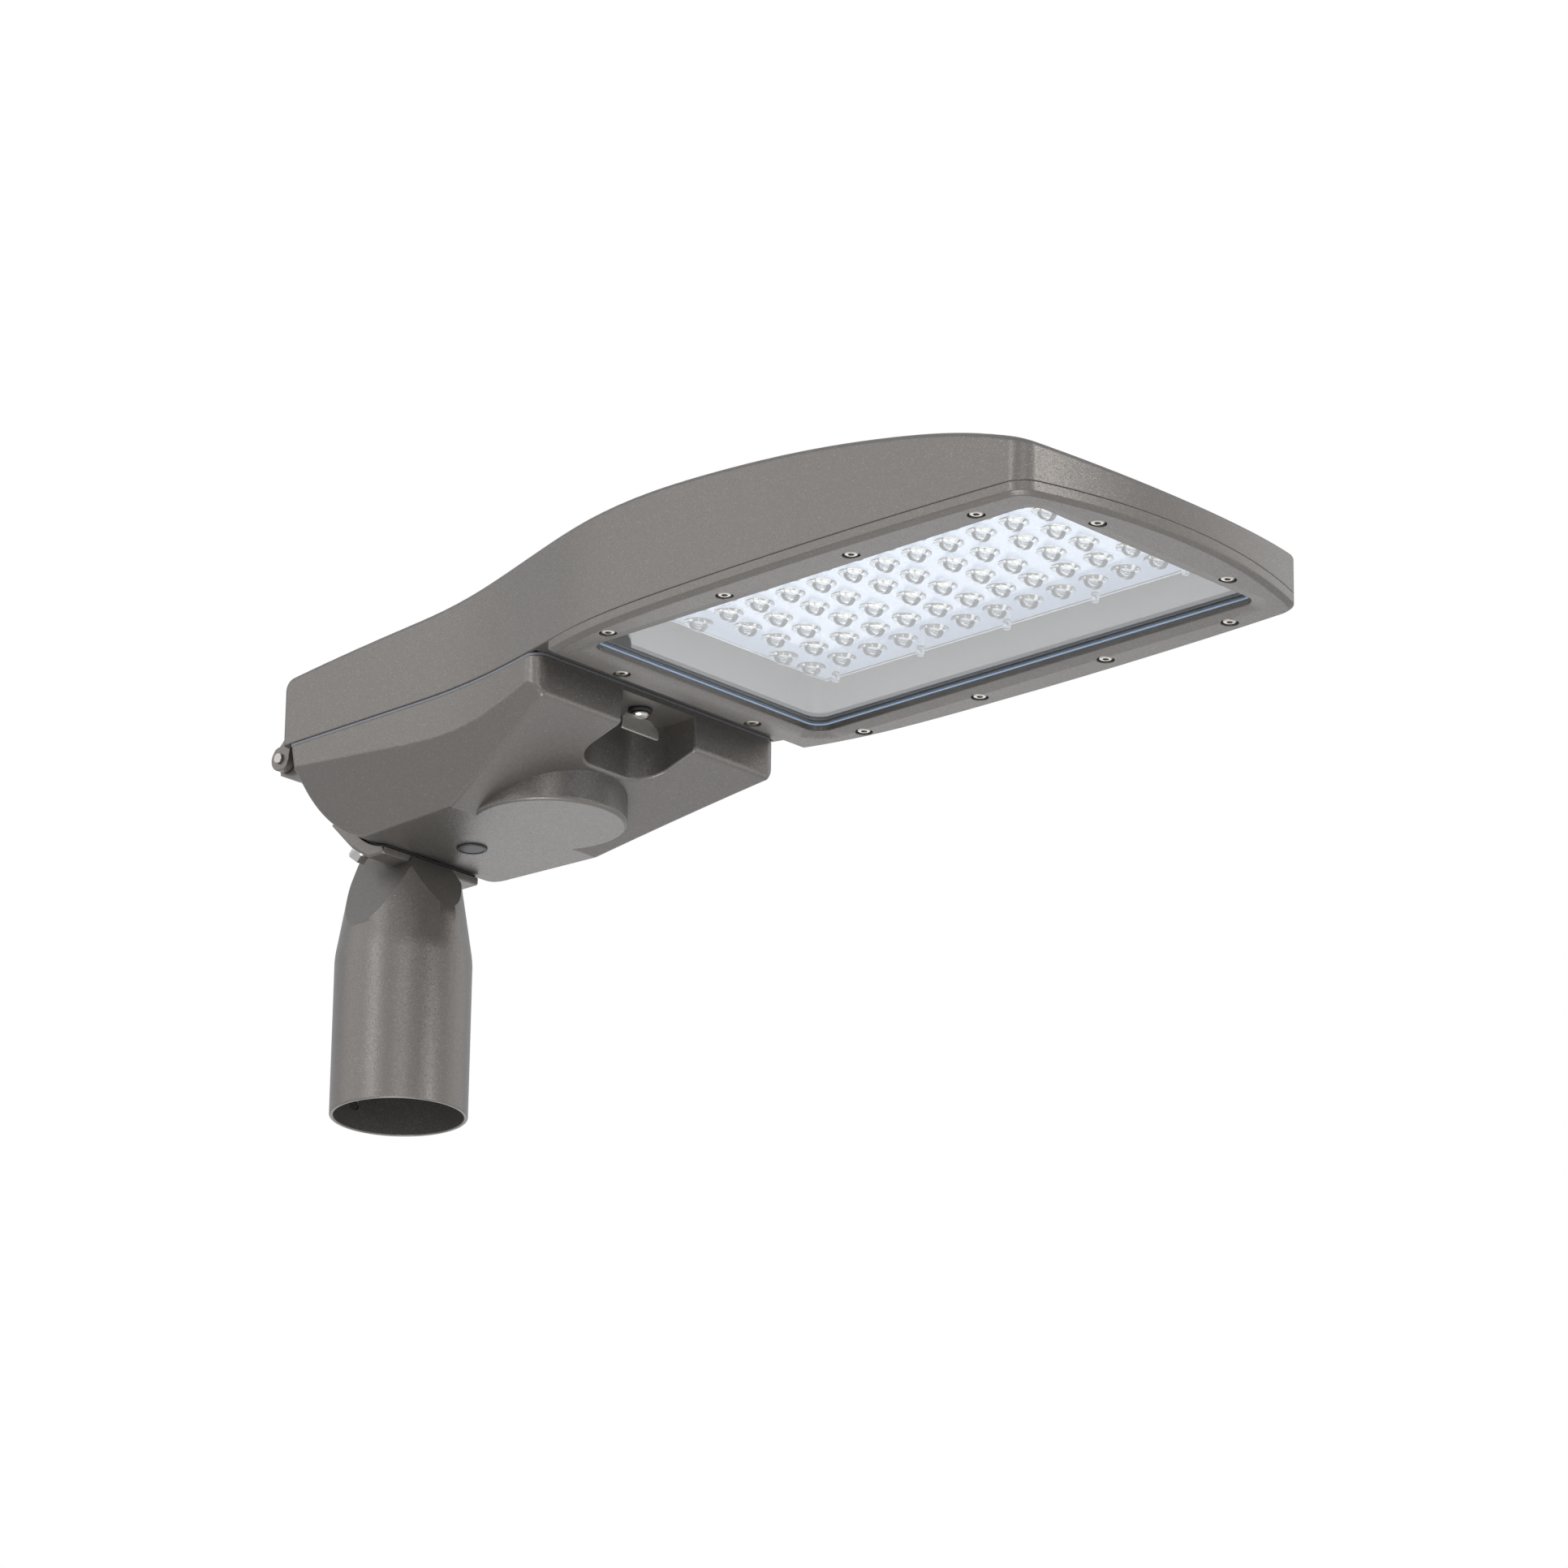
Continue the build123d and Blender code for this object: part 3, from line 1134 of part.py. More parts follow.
with BuildPart() as terminal_block:
    length, width, height = TERMINAL_BOX
    with BuildSketch(Plane.XY.offset(tray_top)):
        with Locations(TERMINAL_XY):
            Rectangle(length, width)
    extrude(amount=height)
    with BuildSketch(Plane.XY.offset(tray_top + height)):
        with Locations(TERMINAL_XY):
            with GridLocations(length / TERMINAL_WAYS, width / 2, TERMINAL_WAYS, 2):
                Rectangle(7, 5)
    extrude(amount=-6, mode=Mode.SUBTRACT)
finish(terminal_block, "terminal_block")

with BuildPart() as cable_clamp:
    length, width, height = CLAMP_BAR
    with BuildSketch(Plane.YZ.offset(CLAMP_BAR_XY[0] - length / 2)):
        with Locations((CLAMP_BAR_XY[1], tray_top + height / 2)):
            Rectangle(width, height)
        with Locations((CLAMP_BAR_XY[1], tray_top)):
            Circle(5, mode=Mode.SUBTRACT)
    extrude(amount=length)
finish(cable_clamp, "cable_clamp")

with BuildPart() as earth_screw:
    with BuildSketch(Plane.XY.offset(tray_top)):
        with Locations(EARTH_XY):
            RegularPolygon(4, 6)
    extrude(amount=3)
finish(earth_screw, "earth_screw")
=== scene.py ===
import json
import math

import bmesh
import bpy
from mathutils import Matrix, Vector

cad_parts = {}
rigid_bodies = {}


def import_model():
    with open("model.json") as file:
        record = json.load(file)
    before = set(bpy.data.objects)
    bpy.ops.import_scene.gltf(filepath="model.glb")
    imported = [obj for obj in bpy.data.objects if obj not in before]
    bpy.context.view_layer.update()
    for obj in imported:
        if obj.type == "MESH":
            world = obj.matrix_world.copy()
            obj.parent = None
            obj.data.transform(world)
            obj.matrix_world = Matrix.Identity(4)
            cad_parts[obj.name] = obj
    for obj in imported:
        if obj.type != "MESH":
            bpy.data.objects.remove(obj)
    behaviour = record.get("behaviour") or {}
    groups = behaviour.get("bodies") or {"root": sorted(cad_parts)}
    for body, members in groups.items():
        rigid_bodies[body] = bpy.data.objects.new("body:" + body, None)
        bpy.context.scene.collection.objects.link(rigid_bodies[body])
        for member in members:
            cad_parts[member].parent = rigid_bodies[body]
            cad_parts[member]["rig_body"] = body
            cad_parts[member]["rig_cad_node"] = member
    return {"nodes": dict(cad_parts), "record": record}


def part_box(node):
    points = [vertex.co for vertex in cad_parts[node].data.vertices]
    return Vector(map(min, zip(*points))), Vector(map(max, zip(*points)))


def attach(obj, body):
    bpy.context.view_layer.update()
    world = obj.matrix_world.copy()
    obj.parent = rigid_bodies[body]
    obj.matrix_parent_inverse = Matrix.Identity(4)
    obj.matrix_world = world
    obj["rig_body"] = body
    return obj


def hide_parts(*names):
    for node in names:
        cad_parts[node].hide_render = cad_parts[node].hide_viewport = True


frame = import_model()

bl_info = {
    "name": "Street light looks",
    "version": (1, 0, 0),
    "blender": (4, 5, 0),
    "location": "3D View > Sidebar > Street light",
    "description": "Dresses the packed street light: castings, optics, fasteners and finishes",
    "category": "Object",
}

NODES = frame["nodes"]
BODY_OF = {n: b for b, nodes in frame["record"]["behaviour"]["bodies"].items() for n in nodes}
MM = 0.001

# Camera at the photograph's viewing angle
CAMERA_TARGET = (0.3107, 0.0, 0.1396)
CAMERA_DISTANCE = 3.965
CAMERA_AZIMUTH = -47.03
CAMERA_ELEVATION = -19.45
CAMERA_ROLL = 0.81
CAMERA_LENS = 158.39
FLOOR_Z = -2.6
WORLD_FILL = 0.8

# Softboxes: azimuth and elevation in degrees, distance and size in metres, watts
LAMPS = (
    ("strip_left", (-98, 18), 3.0, (0.45, 2.0), 14.0),
    ("strip_right", (6, 14), 3.0, (0.5, 2.0), 22.0),
    ("softbox_left", (-137, 22), 3.0, (2.0, 1.7), 8.2),
    ("softbox_right", (68, 22), 3.0, (2.2, 1.7), 7.6),
    ("softbox_front", (-47, 10), 3.6, (1.0, 1.0), 10.0),
    ("softbox_below", (-75, -66), 2.8, (1.1, 1.1), 27.0),
    ("softbox_behind", (136, -20), 3.2, (1.6, 1.3), 5.2),
    ("softbox_low", (45, -22), 3.0, (1.6, 1.4), 7.0),
)

# Light engine, in millimetres
LENS_PLATE_Z = 240.0
LENS_PLATE_T = 2.0
LENS_PLATE_INSET = 1.0
LENS_PITCH = 24.15
LENS_X = 275.0
OUTER_ROWS = (36.3, 60.5)
OUTER_COUNT = 12
INNER_ROW = 12.0
INNER_X = 291.3
INNER_PAIR_PITCH = 52.8
INNER_PAIRS = 5
PEG_X = 279.0
PEG_Y = 77.6
PEG_PITCH = 66.8
PEG_COUNT = 5
PEG_R = 2.4
PEG_EDGE = 0.4
PEG_TIP_Z = 234.6
PEG_FOOT_Z = LENS_PLATE_Z + 1.0
BOARD_Z = (242.7, 244.3)
BOARD_INSET = 0.5
BOARD_EDGE = 0.3

# One lens, in millimetres, its brim and humps as shares of its radius
LENS_SINK = 0.3
BRIM_HEIGHT = 2.1
BRIM_SHARES = (1.0, 1.06)
HUMP_SHARES = (0.56, 0.54)
HUMP_Y = 1.6
HOLLOW_RADII = (2.6, 3.1, 3.3)
LENS_CUT = 40.0

# Glass frame and its button-head screws, in millimetres
OPEN_X = (247.0, 583.0)
OPEN_HALF = 97.0
OPEN_CORNER = 10.0
CORNER_STEPS = 8
# A pale blue ring round the glass's edge; its colour is a painted reflection of the glass edge
PAINTED_REFLECTION_Z = (215.7, 216.5)
PAINTED_REFLECTION_GROW = (-0.4, 1.0)
SCREW_SEAT_Z = 213.9
SCREW_X = (273.4, 364.5, 460.6, 552.5)
SCREW_PLACES = [(x, side * 109.0) for x in SCREW_X for side in (1, -1)]
SCREW_PLACES += [(594.2, 56.0), (594.2, -56.0), (232.7, 55.6), (232.7, -55.6)]
SCREW_REACH = 6.5
HEAD_R = 4.4
HEAD_T = 3.4
HEAD_ROUND = 1.3
SHANK_R = 2.4
SHANK_LENGTH = 16.0
SHANK_LAP = 0.1
KEY_R = 2.1
KEY_DEPTH = 2.0

# Bounds of the edges that get rounded, in millimetres
NECK_EDGES_Z = 150.0
SOCKET_MOUTH_Z = 1.0
RECESS_X = 166.0
RECESS_HALF = 32.0
RECESS_TOP_Z = 212.0
RECESS_LOW_Z = 195.0
FRONT_WALL_X = 209.0
HOUSING_RIM_Z = 215.5
CANOPY_RIM_Z = 218.3
FRAME_FACE_Z = 212.5
FRAME_BACK_Z = 218.0

# Edge radii of the small pieces, in millimetres
SMALL_EDGES = {
    "housing_gasket": 0.5,
    "latch_pin": 1.3,
    "latch_seal": 0.5,
    "latch_wing": 0.3,
    "hinge_pins": 0.5,
}


def linear(hex_colour, alpha=1.0):
    """Turns an sRGB hex value into the linear colour that Blender's shaders take."""
    values = [int(hex_colour[i : i + 2], 16) / 255 for i in (1, 3, 5)]
    return (*[v / 12.92 if v <= 0.04045 else ((v + 0.055) / 1.055) ** 2.4 for v in values], alpha)


def colour_prop(label, description, hex_colour):
    """A colour that a user can change, with its default as sRGB hex."""
    return bpy.props.FloatVectorProperty(
        name=label,
        description=description,
        subtype="COLOR",
        size=4,
        min=0.0,
        max=1.0,
        default=linear(hex_colour),
    )


def length_prop(label, description, millimetres):
    """A length that a user can change, with its default in millimetres."""
    return bpy.props.FloatProperty(
        name=label, description=description, default=millimetres * MM, min=0.0, unit="LENGTH"
    )


class STREETLIGHT_PG_sizes(bpy.types.PropertyGroup):
    recess_edge: length_prop("Recess edge", "Radius round the latch recess", 1.8)
    casting_edge: length_prop("Casting edge", "Radius of the castings' other edges", 0.9)
    flake: length_prop("Flake", "Width of one metallic flake patch in the powder coat", 0.42)
    orange_peel: length_prop("Orange peel", "Width of one ripple in the powder coat", 3.2)
    lens_radius: length_prop("Lens radius", "Radius of a lens at its foot", 8.6)
    lens_height: length_prop("Lens height", "Height of a lens over its plate", 5.6)


class STREETLIGHT_PG_colours(bpy.types.PropertyGroup):
    coat: colour_prop("Powder coat", "Warm grey of the castings", "#77736f")
    tray: colour_prop("Tray", "Light grey of the lamp tray", "#69696a")
    board: colour_prop("Board", "Cool white of the solder mask", "#cad7ef")


def deselect():
    """Leaves edit mode with nothing selected."""
    if bpy.context.object and bpy.context.object.mode != "OBJECT":
        bpy.ops.object.mode_set(mode="OBJECT")
    bpy.ops.object.select_all(action="DESELECT")


def activate(obj):
    """Makes one object the only selected and active one."""
    deselect()
    obj.select_set(True)
    bpy.context.view_layer.objects.active = obj
    return obj


def named(name):
    """Names the object that an operator has just added, and returns it."""
    obj = bpy.context.object
    obj.name = name
    obj.data.name = name
    return obj


def apply_place(obj):
    """Moves an object's place into its mesh."""
    activate(obj)
    bpy.ops.object.transform_apply(location=True, rotation=True, scale=True)
    return obj


def apply_modifier(obj, kind, **settings):
    """Adds a modifier, sets it and applies it."""
    activate(obj)
    bpy.ops.object.modifier_add(type=kind)
    modifier = obj.modifiers[-1]
    for key, value in settings.items():
        setattr(modifier, key, value)
    bpy.ops.object.modifier_apply(modifier=modifier.name)
    return obj


def smooth(obj, angle):
    """Shades an object smooth up to an angle in degrees."""
    activate(obj)
    bpy.ops.object.shade_smooth_by_angle(angle=math.radians(angle))
    return obj


def stand_for(piece, *nodes):
    """Lets a piece ride on its node's body in that node's place."""
    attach(piece, BODY_OF[nodes[0]])
    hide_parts(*nodes)
    return piece


def merged_copy(node, name):
    """A copy of a node with its loose triangles joined and flat areas dissolved."""
    deselect()
    piece = NODES[node].copy()
    piece.data = NODES[node].data.copy()
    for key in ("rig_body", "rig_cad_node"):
        if key in piece:
            del piece[key]
    bpy.context.scene.collection.objects.link(piece)
    piece.parent = None
    piece.name = name
    piece.data.name = name
    activate(piece)
    bpy.ops.object.mode_set(mode="EDIT")
    bpy.ops.mesh.select_all(action="SELECT")
    bpy.ops.mesh.remove_doubles(threshold=0.000004)
    bpy.ops.mesh.customdata_custom_splitnormals_clear()
    bpy.ops.mesh.dissolve_limited(angle_limit=math.radians(0.4))
    bpy.ops.object.mode_set(mode="OBJECT")
    return piece


def everywhere(x, y, z):
    """Lets round_edges round all of a piece's sharp outer edges."""
    return True


def in_recess_mouth(x, y, z):
    """Whether a point, in millimetres, lies about the latch recess's opening edge."""
    beside = x > RECESS_X and abs(y) < RECESS_HALF and z < RECESS_TOP_Z
    return beside and (x > FRONT_WALL_X or z < RECESS_LOW_Z)


def by_screw(x, y):
    """Whether a point, in millimetres, lies at a frame screw's pocket."""
    return any(math.hypot(x - sx, y - sy) < SCREW_REACH for sx, sy in SCREW_PLACES)


def on_frame_edge(x, y, z):
    """Whether a point, in millimetres, lies on the frame's face or back, but at no screw."""
    return (z > FRAME_BACK_Z or z < FRAME_FACE_Z) and not by_screw(x, y)


def round_edges(piece, width, test=everywhere, segments=3, sharp=25.0):
    """Rounds the sharp outer edges of a piece whose middle, in millimetres, passes the test."""
    mesh = bmesh.new()
    mesh.from_mesh(piece.data)
    chosen = []
    for edge in mesh.edges:
        if len(edge.link_faces) != 2 or not edge.is_convex:
            continue
        middle = (edge.verts[0].co + edge.verts[1].co) / (2 * MM)
        if edge.calc_face_angle() > math.radians(sharp) and test(*middle):
            chosen.append(edge)
    bmesh.ops.bevel(
        mesh,
        geom=chosen,
        offset=width,
        offset_type="OFFSET",
        segments=segments,
        profile=0.5,
        affect="EDGES",
        clamp_overlap=False,
        miter_outer="ARC",
    )
    mesh.to_mesh(piece.data)
    mesh.free()
    return piece


def settle(piece, node, angle=32.0):
    """Evens a softened copy's shading and lets it stand for its node."""
    smooth(piece, angle)
    apply_modifier(piece, "WEIGHTED_NORMAL", keep_sharp=True, weight=100)
    return stand_for(piece, node)


def lens_places():
    """Plan places of all lenses, in millimetres."""
    places = []
    for row in OUTER_ROWS:
        for i in range(OUTER_COUNT):
            for side in (1, -1):
                places.append((LENS_X + i * LENS_PITCH, side * row))
    for pair in range(INNER_PAIRS):
        pair_x = INNER_X + pair * INNER_PAIR_PITCH
        for i in range(2):
            for side in (1, -1):
                places.append((pair_x + i * LENS_PITCH, side * INNER_ROW))
    return places


def ellipsoid(name, place, radii, segments):
    """An ellipsoid about a place."""
    deselect()
    bpy.ops.mesh.primitive_uv_sphere_add(
        segments=segments, ring_count=segments // 2, radius=1, location=place
    )
    piece = named(name)
    piece.scale = radii
    return apply_place(piece)


def block(name, place, size):
    """An upright block about a place."""
    deselect()
    bpy.ops.mesh.primitive_cube_add(size=1, location=place)
    piece = named(name)
    piece.scale = size
    return apply_place(piece)


def cylinder(name, place, radius, depth, sides):
    """An upright cylinder or prism about a place."""
    deselect()
    bpy.ops.mesh.primitive_cylinder_add(vertices=sides, radius=radius, depth=depth, location=place)
    return apply_place(named(name))


def ring(name, xs, half, corner, grow, heights):
    """A rounded rectangular ring between two offsets and two heights, all in millimetres."""
    outlines = []
    for offset in grow:
        radius = corner + offset
        points = []
        for cx, cy, start in (
            (xs[1] + offset - radius, half + offset - radius, 0),
            (xs[0] - offset + radius, half + offset - radius, 90),
            (xs[0] - offset + radius, -half - offset + radius, 180),
            (xs[1] + offset - radius, -half - offset + radius, 270),
        ):
            for step in range(CORNER_STEPS + 1):
                turn = math.radians(start + step * 90 / CORNER_STEPS)
                points.append((cx + radius * math.cos(turn), cy + radius * math.sin(turn)))
        outlines.append(points)
    mesh = bmesh.new()
    loops = []
    for points in outlines:
        for z in heights:
            loops.append([mesh.verts.new((x * MM, y * MM, z * MM)) for x, y in points])
    inner_low, inner_high, outer_low, outer_high = loops
    for first, second in (
        (inner_low, inner_high),
        (inner_high, outer_high),
        (outer_high, outer_low),
        (outer_low, inner_low),
    ):
        for i in range(len(first)):
            j = (i + 1) % len(first)
            mesh.faces.new((first[i], first[j], second[j], second[i]))
    bmesh.ops.recalc_face_normals(mesh, faces=mesh.faces)
    data = bpy.data.meshes.new(name)
    mesh.to_mesh(data)
    mesh.free()
    piece = bpy.data.objects.new(name, data)
    bpy.context.scene.collection.objects.link(piece)
    return smooth(piece, 35.0)


def combine(piece, tool, operation):
    """Joins a tool to a piece, or cuts the piece with it, and takes the tool away."""
    apply_modifier(piece, "BOOLEAN", object=tool, operation=operation, solver="EXACT")
    bpy.data.objects.remove(tool)
    return piece


def peg_places():
    """Plan places of the lens plate's pegs, in millimetres."""
    return [(PEG_X + i * PEG_PITCH, side * PEG_Y) for i in range(PEG_COUNT) for side in (1, -1)]


def copies(piece, places, name):
    """Copies a piece modelled over the origin to each place, as one joined mesh."""
    made = []
    for x, y in places:
        twin = piece.copy()
        twin.data = piece.data.copy()
        bpy.context.scene.collection.objects.link(twin)
        twin.location = (x * MM, y * MM, 0)
        made.append(twin)
    deselect()
    for twin in made:
        twin.select_set(True)
    bpy.context.view_layer.objects.active = made[0]
    bpy.ops.object.transform_apply(location=True, rotation=False, scale=False)
    bpy.ops.object.join()
    bpy.data.objects.remove(piece)
    return named(name)


def add_node(tree, kind, settings=None, links=None):
    """Adds a node with its values or settings, and links (output, input name) pairs to it."""
    node = tree.nodes.new(kind)
    for key, value in (settings or {}).items():
        if key in node.inputs:
            node.inputs[key].default_value = value
        else:
            setattr(node, key, value)
    for source, target in links or []:
        tree.links.new(source, node.inputs[target])
    return node


def material(name):
    """A new node material with its output, its Principled shader and Object coordinates."""
    made = bpy.data.materials.new(name)
    made.use_nodes = True
    tree = made.node_tree
    tree.nodes.clear()
    shader = add_node(tree, "ShaderNodeBsdfPrincipled")
    add_node(tree, "ShaderNodeOutputMaterial", None, [(shader.outputs[0], "Surface")])
    place = add_node(tree, "ShaderNodeTexCoord").outputs["Object"]
    return made, tree, shader, place


def set_ramp(ramp, stops):
    """Sets a colour ramp's stops, each a position and a colour."""
    elements = ramp.color_ramp.elements
    while len(elements) > len(stops):
        elements.remove(elements[-1])
    while len(elements) < len(stops):
        elements.new(1.0)
    for element, (position, colour) in zip(elements, stops):
        element.position = position
        element.color = colour


def grey(value):
    """A linear grey."""
    return (value, value, value, 1.0)


def shade(colour, factor):
    """A colour made lighter or darker."""
    return (*[min(c * factor, 1.0) for c in colour[:3]], 1.0)


def powder_coat(sizes, colours):
    """Metallic powder coat baked on die-cast aluminium: bright flakes in a satin, rippled skin.

    The flakes are drawn coarser than real ones, so that they show in a picture.
    """
    made, tree, shader, place = material("metallic_powder_coat")
    base = tuple(colours.coat)
    flakes = add_node(
        tree,
        "ShaderNodeTexVoronoi",
        {"Scale": 1.0 / sizes.flake, "Randomness": 1.0},
        [(place, "Vector")],
    )
    spark = add_node(tree, "ShaderNodeSeparateColor", None, [(flakes.outputs["Color"], "Color")])
    ramp = add_node(tree, "ShaderNodeValToRGB", None, [(spark.outputs["Red"], "Fac")])
    flake_shades = ((0.0, 0.94), (0.5, 0.99), (0.92, 1.04), (1.0, 1.5))
    set_ramp(ramp, [(position, shade(base, factor)) for position, factor in flake_shades])
    # A faint, broad cloud, as where the gun laid on more powder
    cloud = add_node(
        tree,
        "ShaderNodeTexNoise",
        {"Scale": 9.0, "Detail": 2.0, "Roughness": 0.5},
        [(place, "Vector")],
    )
    tint = add_node(tree, "ShaderNodeValToRGB", None, [(cloud.outputs["Fac"], "Fac")])
    set_ramp(tint, [(0.3, grey(0.965)), (0.7, grey(1.0))])
    mix = add_node(tree, "ShaderNodeMix", {"data_type": "RGBA", "blend_type": "MULTIPLY"})
    mix.inputs[0].default_value = 1.0
    tree.links.new(ramp.outputs["Color"], mix.inputs[6])
    tree.links.new(tint.outputs["Color"], mix.inputs[7])
    tree.links.new(mix.outputs[2], shader.inputs["Base Color"])
    gloss = add_node(
        tree,
        "ShaderNodeMapRange",
        {"To Min": 0.32, "To Max": 0.44},
        [(spark.outputs["Green"], "Value")],
    )
    tree.links.new(gloss.outputs["Result"], shader.inputs["Roughness"])
    peel = add_node(
        tree,
        "ShaderNodeTexNoise",
        {"Scale": 1.0 / sizes.orange_peel, "Detail": 1.0},
        [(place, "Vector")],
    )
    ripple = add_node(
        tree,
        "ShaderNodeBump",
        {"Strength": 0.05, "Distance": 0.0004},
        [(peel.outputs["Fac"], "Height")],
    )
    # Each flake leans its own way, and one in five leans far enough to glint
    lean = add_node(
        tree,
        "ShaderNodeTexWhiteNoise",
        {"noise_dimensions": "3D"},
        [(flakes.outputs["Position"], "Vector")],
    )
    centred = add_node(
        tree, "ShaderNodeVectorMath", {"operation": "SUBTRACT"}, [(lean.outputs["Color"], 0)]
    )
    centred.inputs[1].default_value = (0.5, 0.5, 0.5)
    tilt = add_node(tree, "ShaderNodeVectorMath", {"operation": "SCALE"}, [(centred.outputs[0], 0)])
    reach = add_node(
        tree,
        "ShaderNodeMapRange",
        {"From Min": 0.8, "To Min": 0.09, "To Max": 0.55},
        [(spark.outputs["Blue"], "Value")],
    )
    tree.links.new(reach.outputs["Result"], tilt.inputs["Scale"])
    tilted = add_node(
        tree,
        "ShaderNodeVectorMath",
        {"operation": "ADD"},
        [(ripple.outputs["Normal"], 0), (tilt.outputs[0], 1)],
    )
    flake_normal = add_node(
        tree, "ShaderNodeVectorMath", {"operation": "NORMALIZE"}, [(tilted.outputs[0], 0)]
    )
    tree.links.new(flake_normal.outputs[0], shader.inputs["Normal"])
    shader.inputs["Metallic"].default_value = 0.7
    return made


def bright_steel(name, hex_colour, roughness, grit):
    """Turned or plated metal: bright, with fine tool marks, their grit in millimetres.

    The marks are drawn coarser than real ones, so that they show in a picture.
    """
    made, tree, shader, place = material(name)
    shader.inputs["Metallic"].default_value = 1.0
    marks = add_node(
        tree, "ShaderNodeTexNoise", {"Scale": 1 / (grit * MM), "Detail": 3.0}, [(place, "Vector")]
    )
    ramp = add_node(tree, "ShaderNodeValToRGB", None, [(marks.outputs["Fac"], "Fac")])
    base = linear(hex_colour)
    set_ramp(ramp, [(0.3, shade(base, 0.82)), (0.7, shade(base, 1.08))])
    tree.links.new(ramp.outputs["Color"], shader.inputs["Base Color"])
    gloss = add_node(
        tree,
        "ShaderNodeMapRange",
        {"To Min": roughness * 0.8, "To Max": roughness * 1.3},
        [(marks.outputs["Fac"], "Value")],
    )
    tree.links.new(gloss.outputs["Result"], shader.inputs["Roughness"])
    bump = add_node(
        tree,
        "ShaderNodeBump",
        {"Strength": 0.08, "Distance": 0.0001},
        [(marks.outputs["Fac"], "Height")],
    )
    tree.links.new(bump.outputs["Normal"], shader.inputs["Normal"])
    return made


def moulded(name, colour, roughness, grain, relief=0.12, sheen=0.5):
    """Moulded rubber, plastic or paint: an even colour with a fine grain, in millimetres.

    The grain is drawn coarser than real, so that it shows in a picture.
    """
    made, tree, shader, place = material(name)
    shader.inputs["Specular IOR Level"].default_value = sheen
    marks = add_node(
        tree, "ShaderNodeTexNoise", {"Scale": 1 / (grain * MM), "Detail": 2.0}, [(place, "Vector")]
    )
    ramp = add_node(tree, "ShaderNodeValToRGB", None, [(marks.outputs["Fac"], "Fac")])
    base = linear(colour) if isinstance(colour, str) else tuple(colour)
    set_ramp(ramp, [(0.3, shade(base, 0.9)), (0.7, shade(base, 1.06))])
    tree.links.new(ramp.outputs["Color"], shader.inputs["Base Color"])
    gloss = add_node(
        tree,
        "ShaderNodeMapRange",
        {"To Min": roughness * 0.88, "To Max": min(roughness * 1.12, 1.0)},
        [(marks.outputs["Fac"], "Value")],
    )
    tree.links.new(gloss.outputs["Result"], shader.inputs["Roughness"])
    bump = add_node(
        tree,
        "ShaderNodeBump",
        {"Strength": relief, "Distance": 0.0002},
        [(marks.outputs["Fac"], "Height")],
    )
    tree.links.new(bump.outputs["Normal"], shader.inputs["Normal"])
    return made


def clear(name, hex_colour, ior, roughness):
    """Clear, polished, faintly wavy glass or acrylic that lets light through to what it covers."""
    made, tree, shader, place = material(name)
    shader.inputs["Base Color"].default_value = linear(hex_colour)
    shader.inputs["Transmission Weight"].default_value = 1.0
    shader.inputs["IOR"].default_value = ior
    shader.inputs["Roughness"].default_value = roughness
    wave = add_node(tree, "ShaderNodeTexNoise", {"Scale": 18.0, "Detail": 1.0}, [(place, "Vector")])
    bump = add_node(
        tree,
        "ShaderNodeBump",
        {"Strength": 0.02, "Distance": 0.0002},
        [(wave.outputs["Fac"], "Height")],
    )
    tree.links.new(bump.outputs["Normal"], shader.inputs["Normal"])
    rays = add_node(tree, "ShaderNodeLightPath")
    either = add_node(
        tree,
        "ShaderNodeMath",
        {"operation": "MAXIMUM"},
        [(rays.outputs["Is Shadow Ray"], 0), (rays.outputs["Is Diffuse Ray"], 1)],
    )
    through = add_node(tree, "ShaderNodeBsdfTransparent", {"Color": linear(hex_colour)})
    mix = add_node(
        tree,
        "ShaderNodeMixShader",
        None,
        [(either.outputs[0], "Fac"), (shader.outputs[0], 1), (through.outputs[0], 2)],
    )
    output = [node for node in tree.nodes if node.type == "OUTPUT_MATERIAL"][0]
    tree.links.new(mix.outputs[0], output.inputs["Surface"])
    return made


def user_values():
    """The scene's sizes and colours."""
    scene = bpy.context.scene
    return scene.streetlight_sizes, scene.streetlight_colours


FINISHES = {}


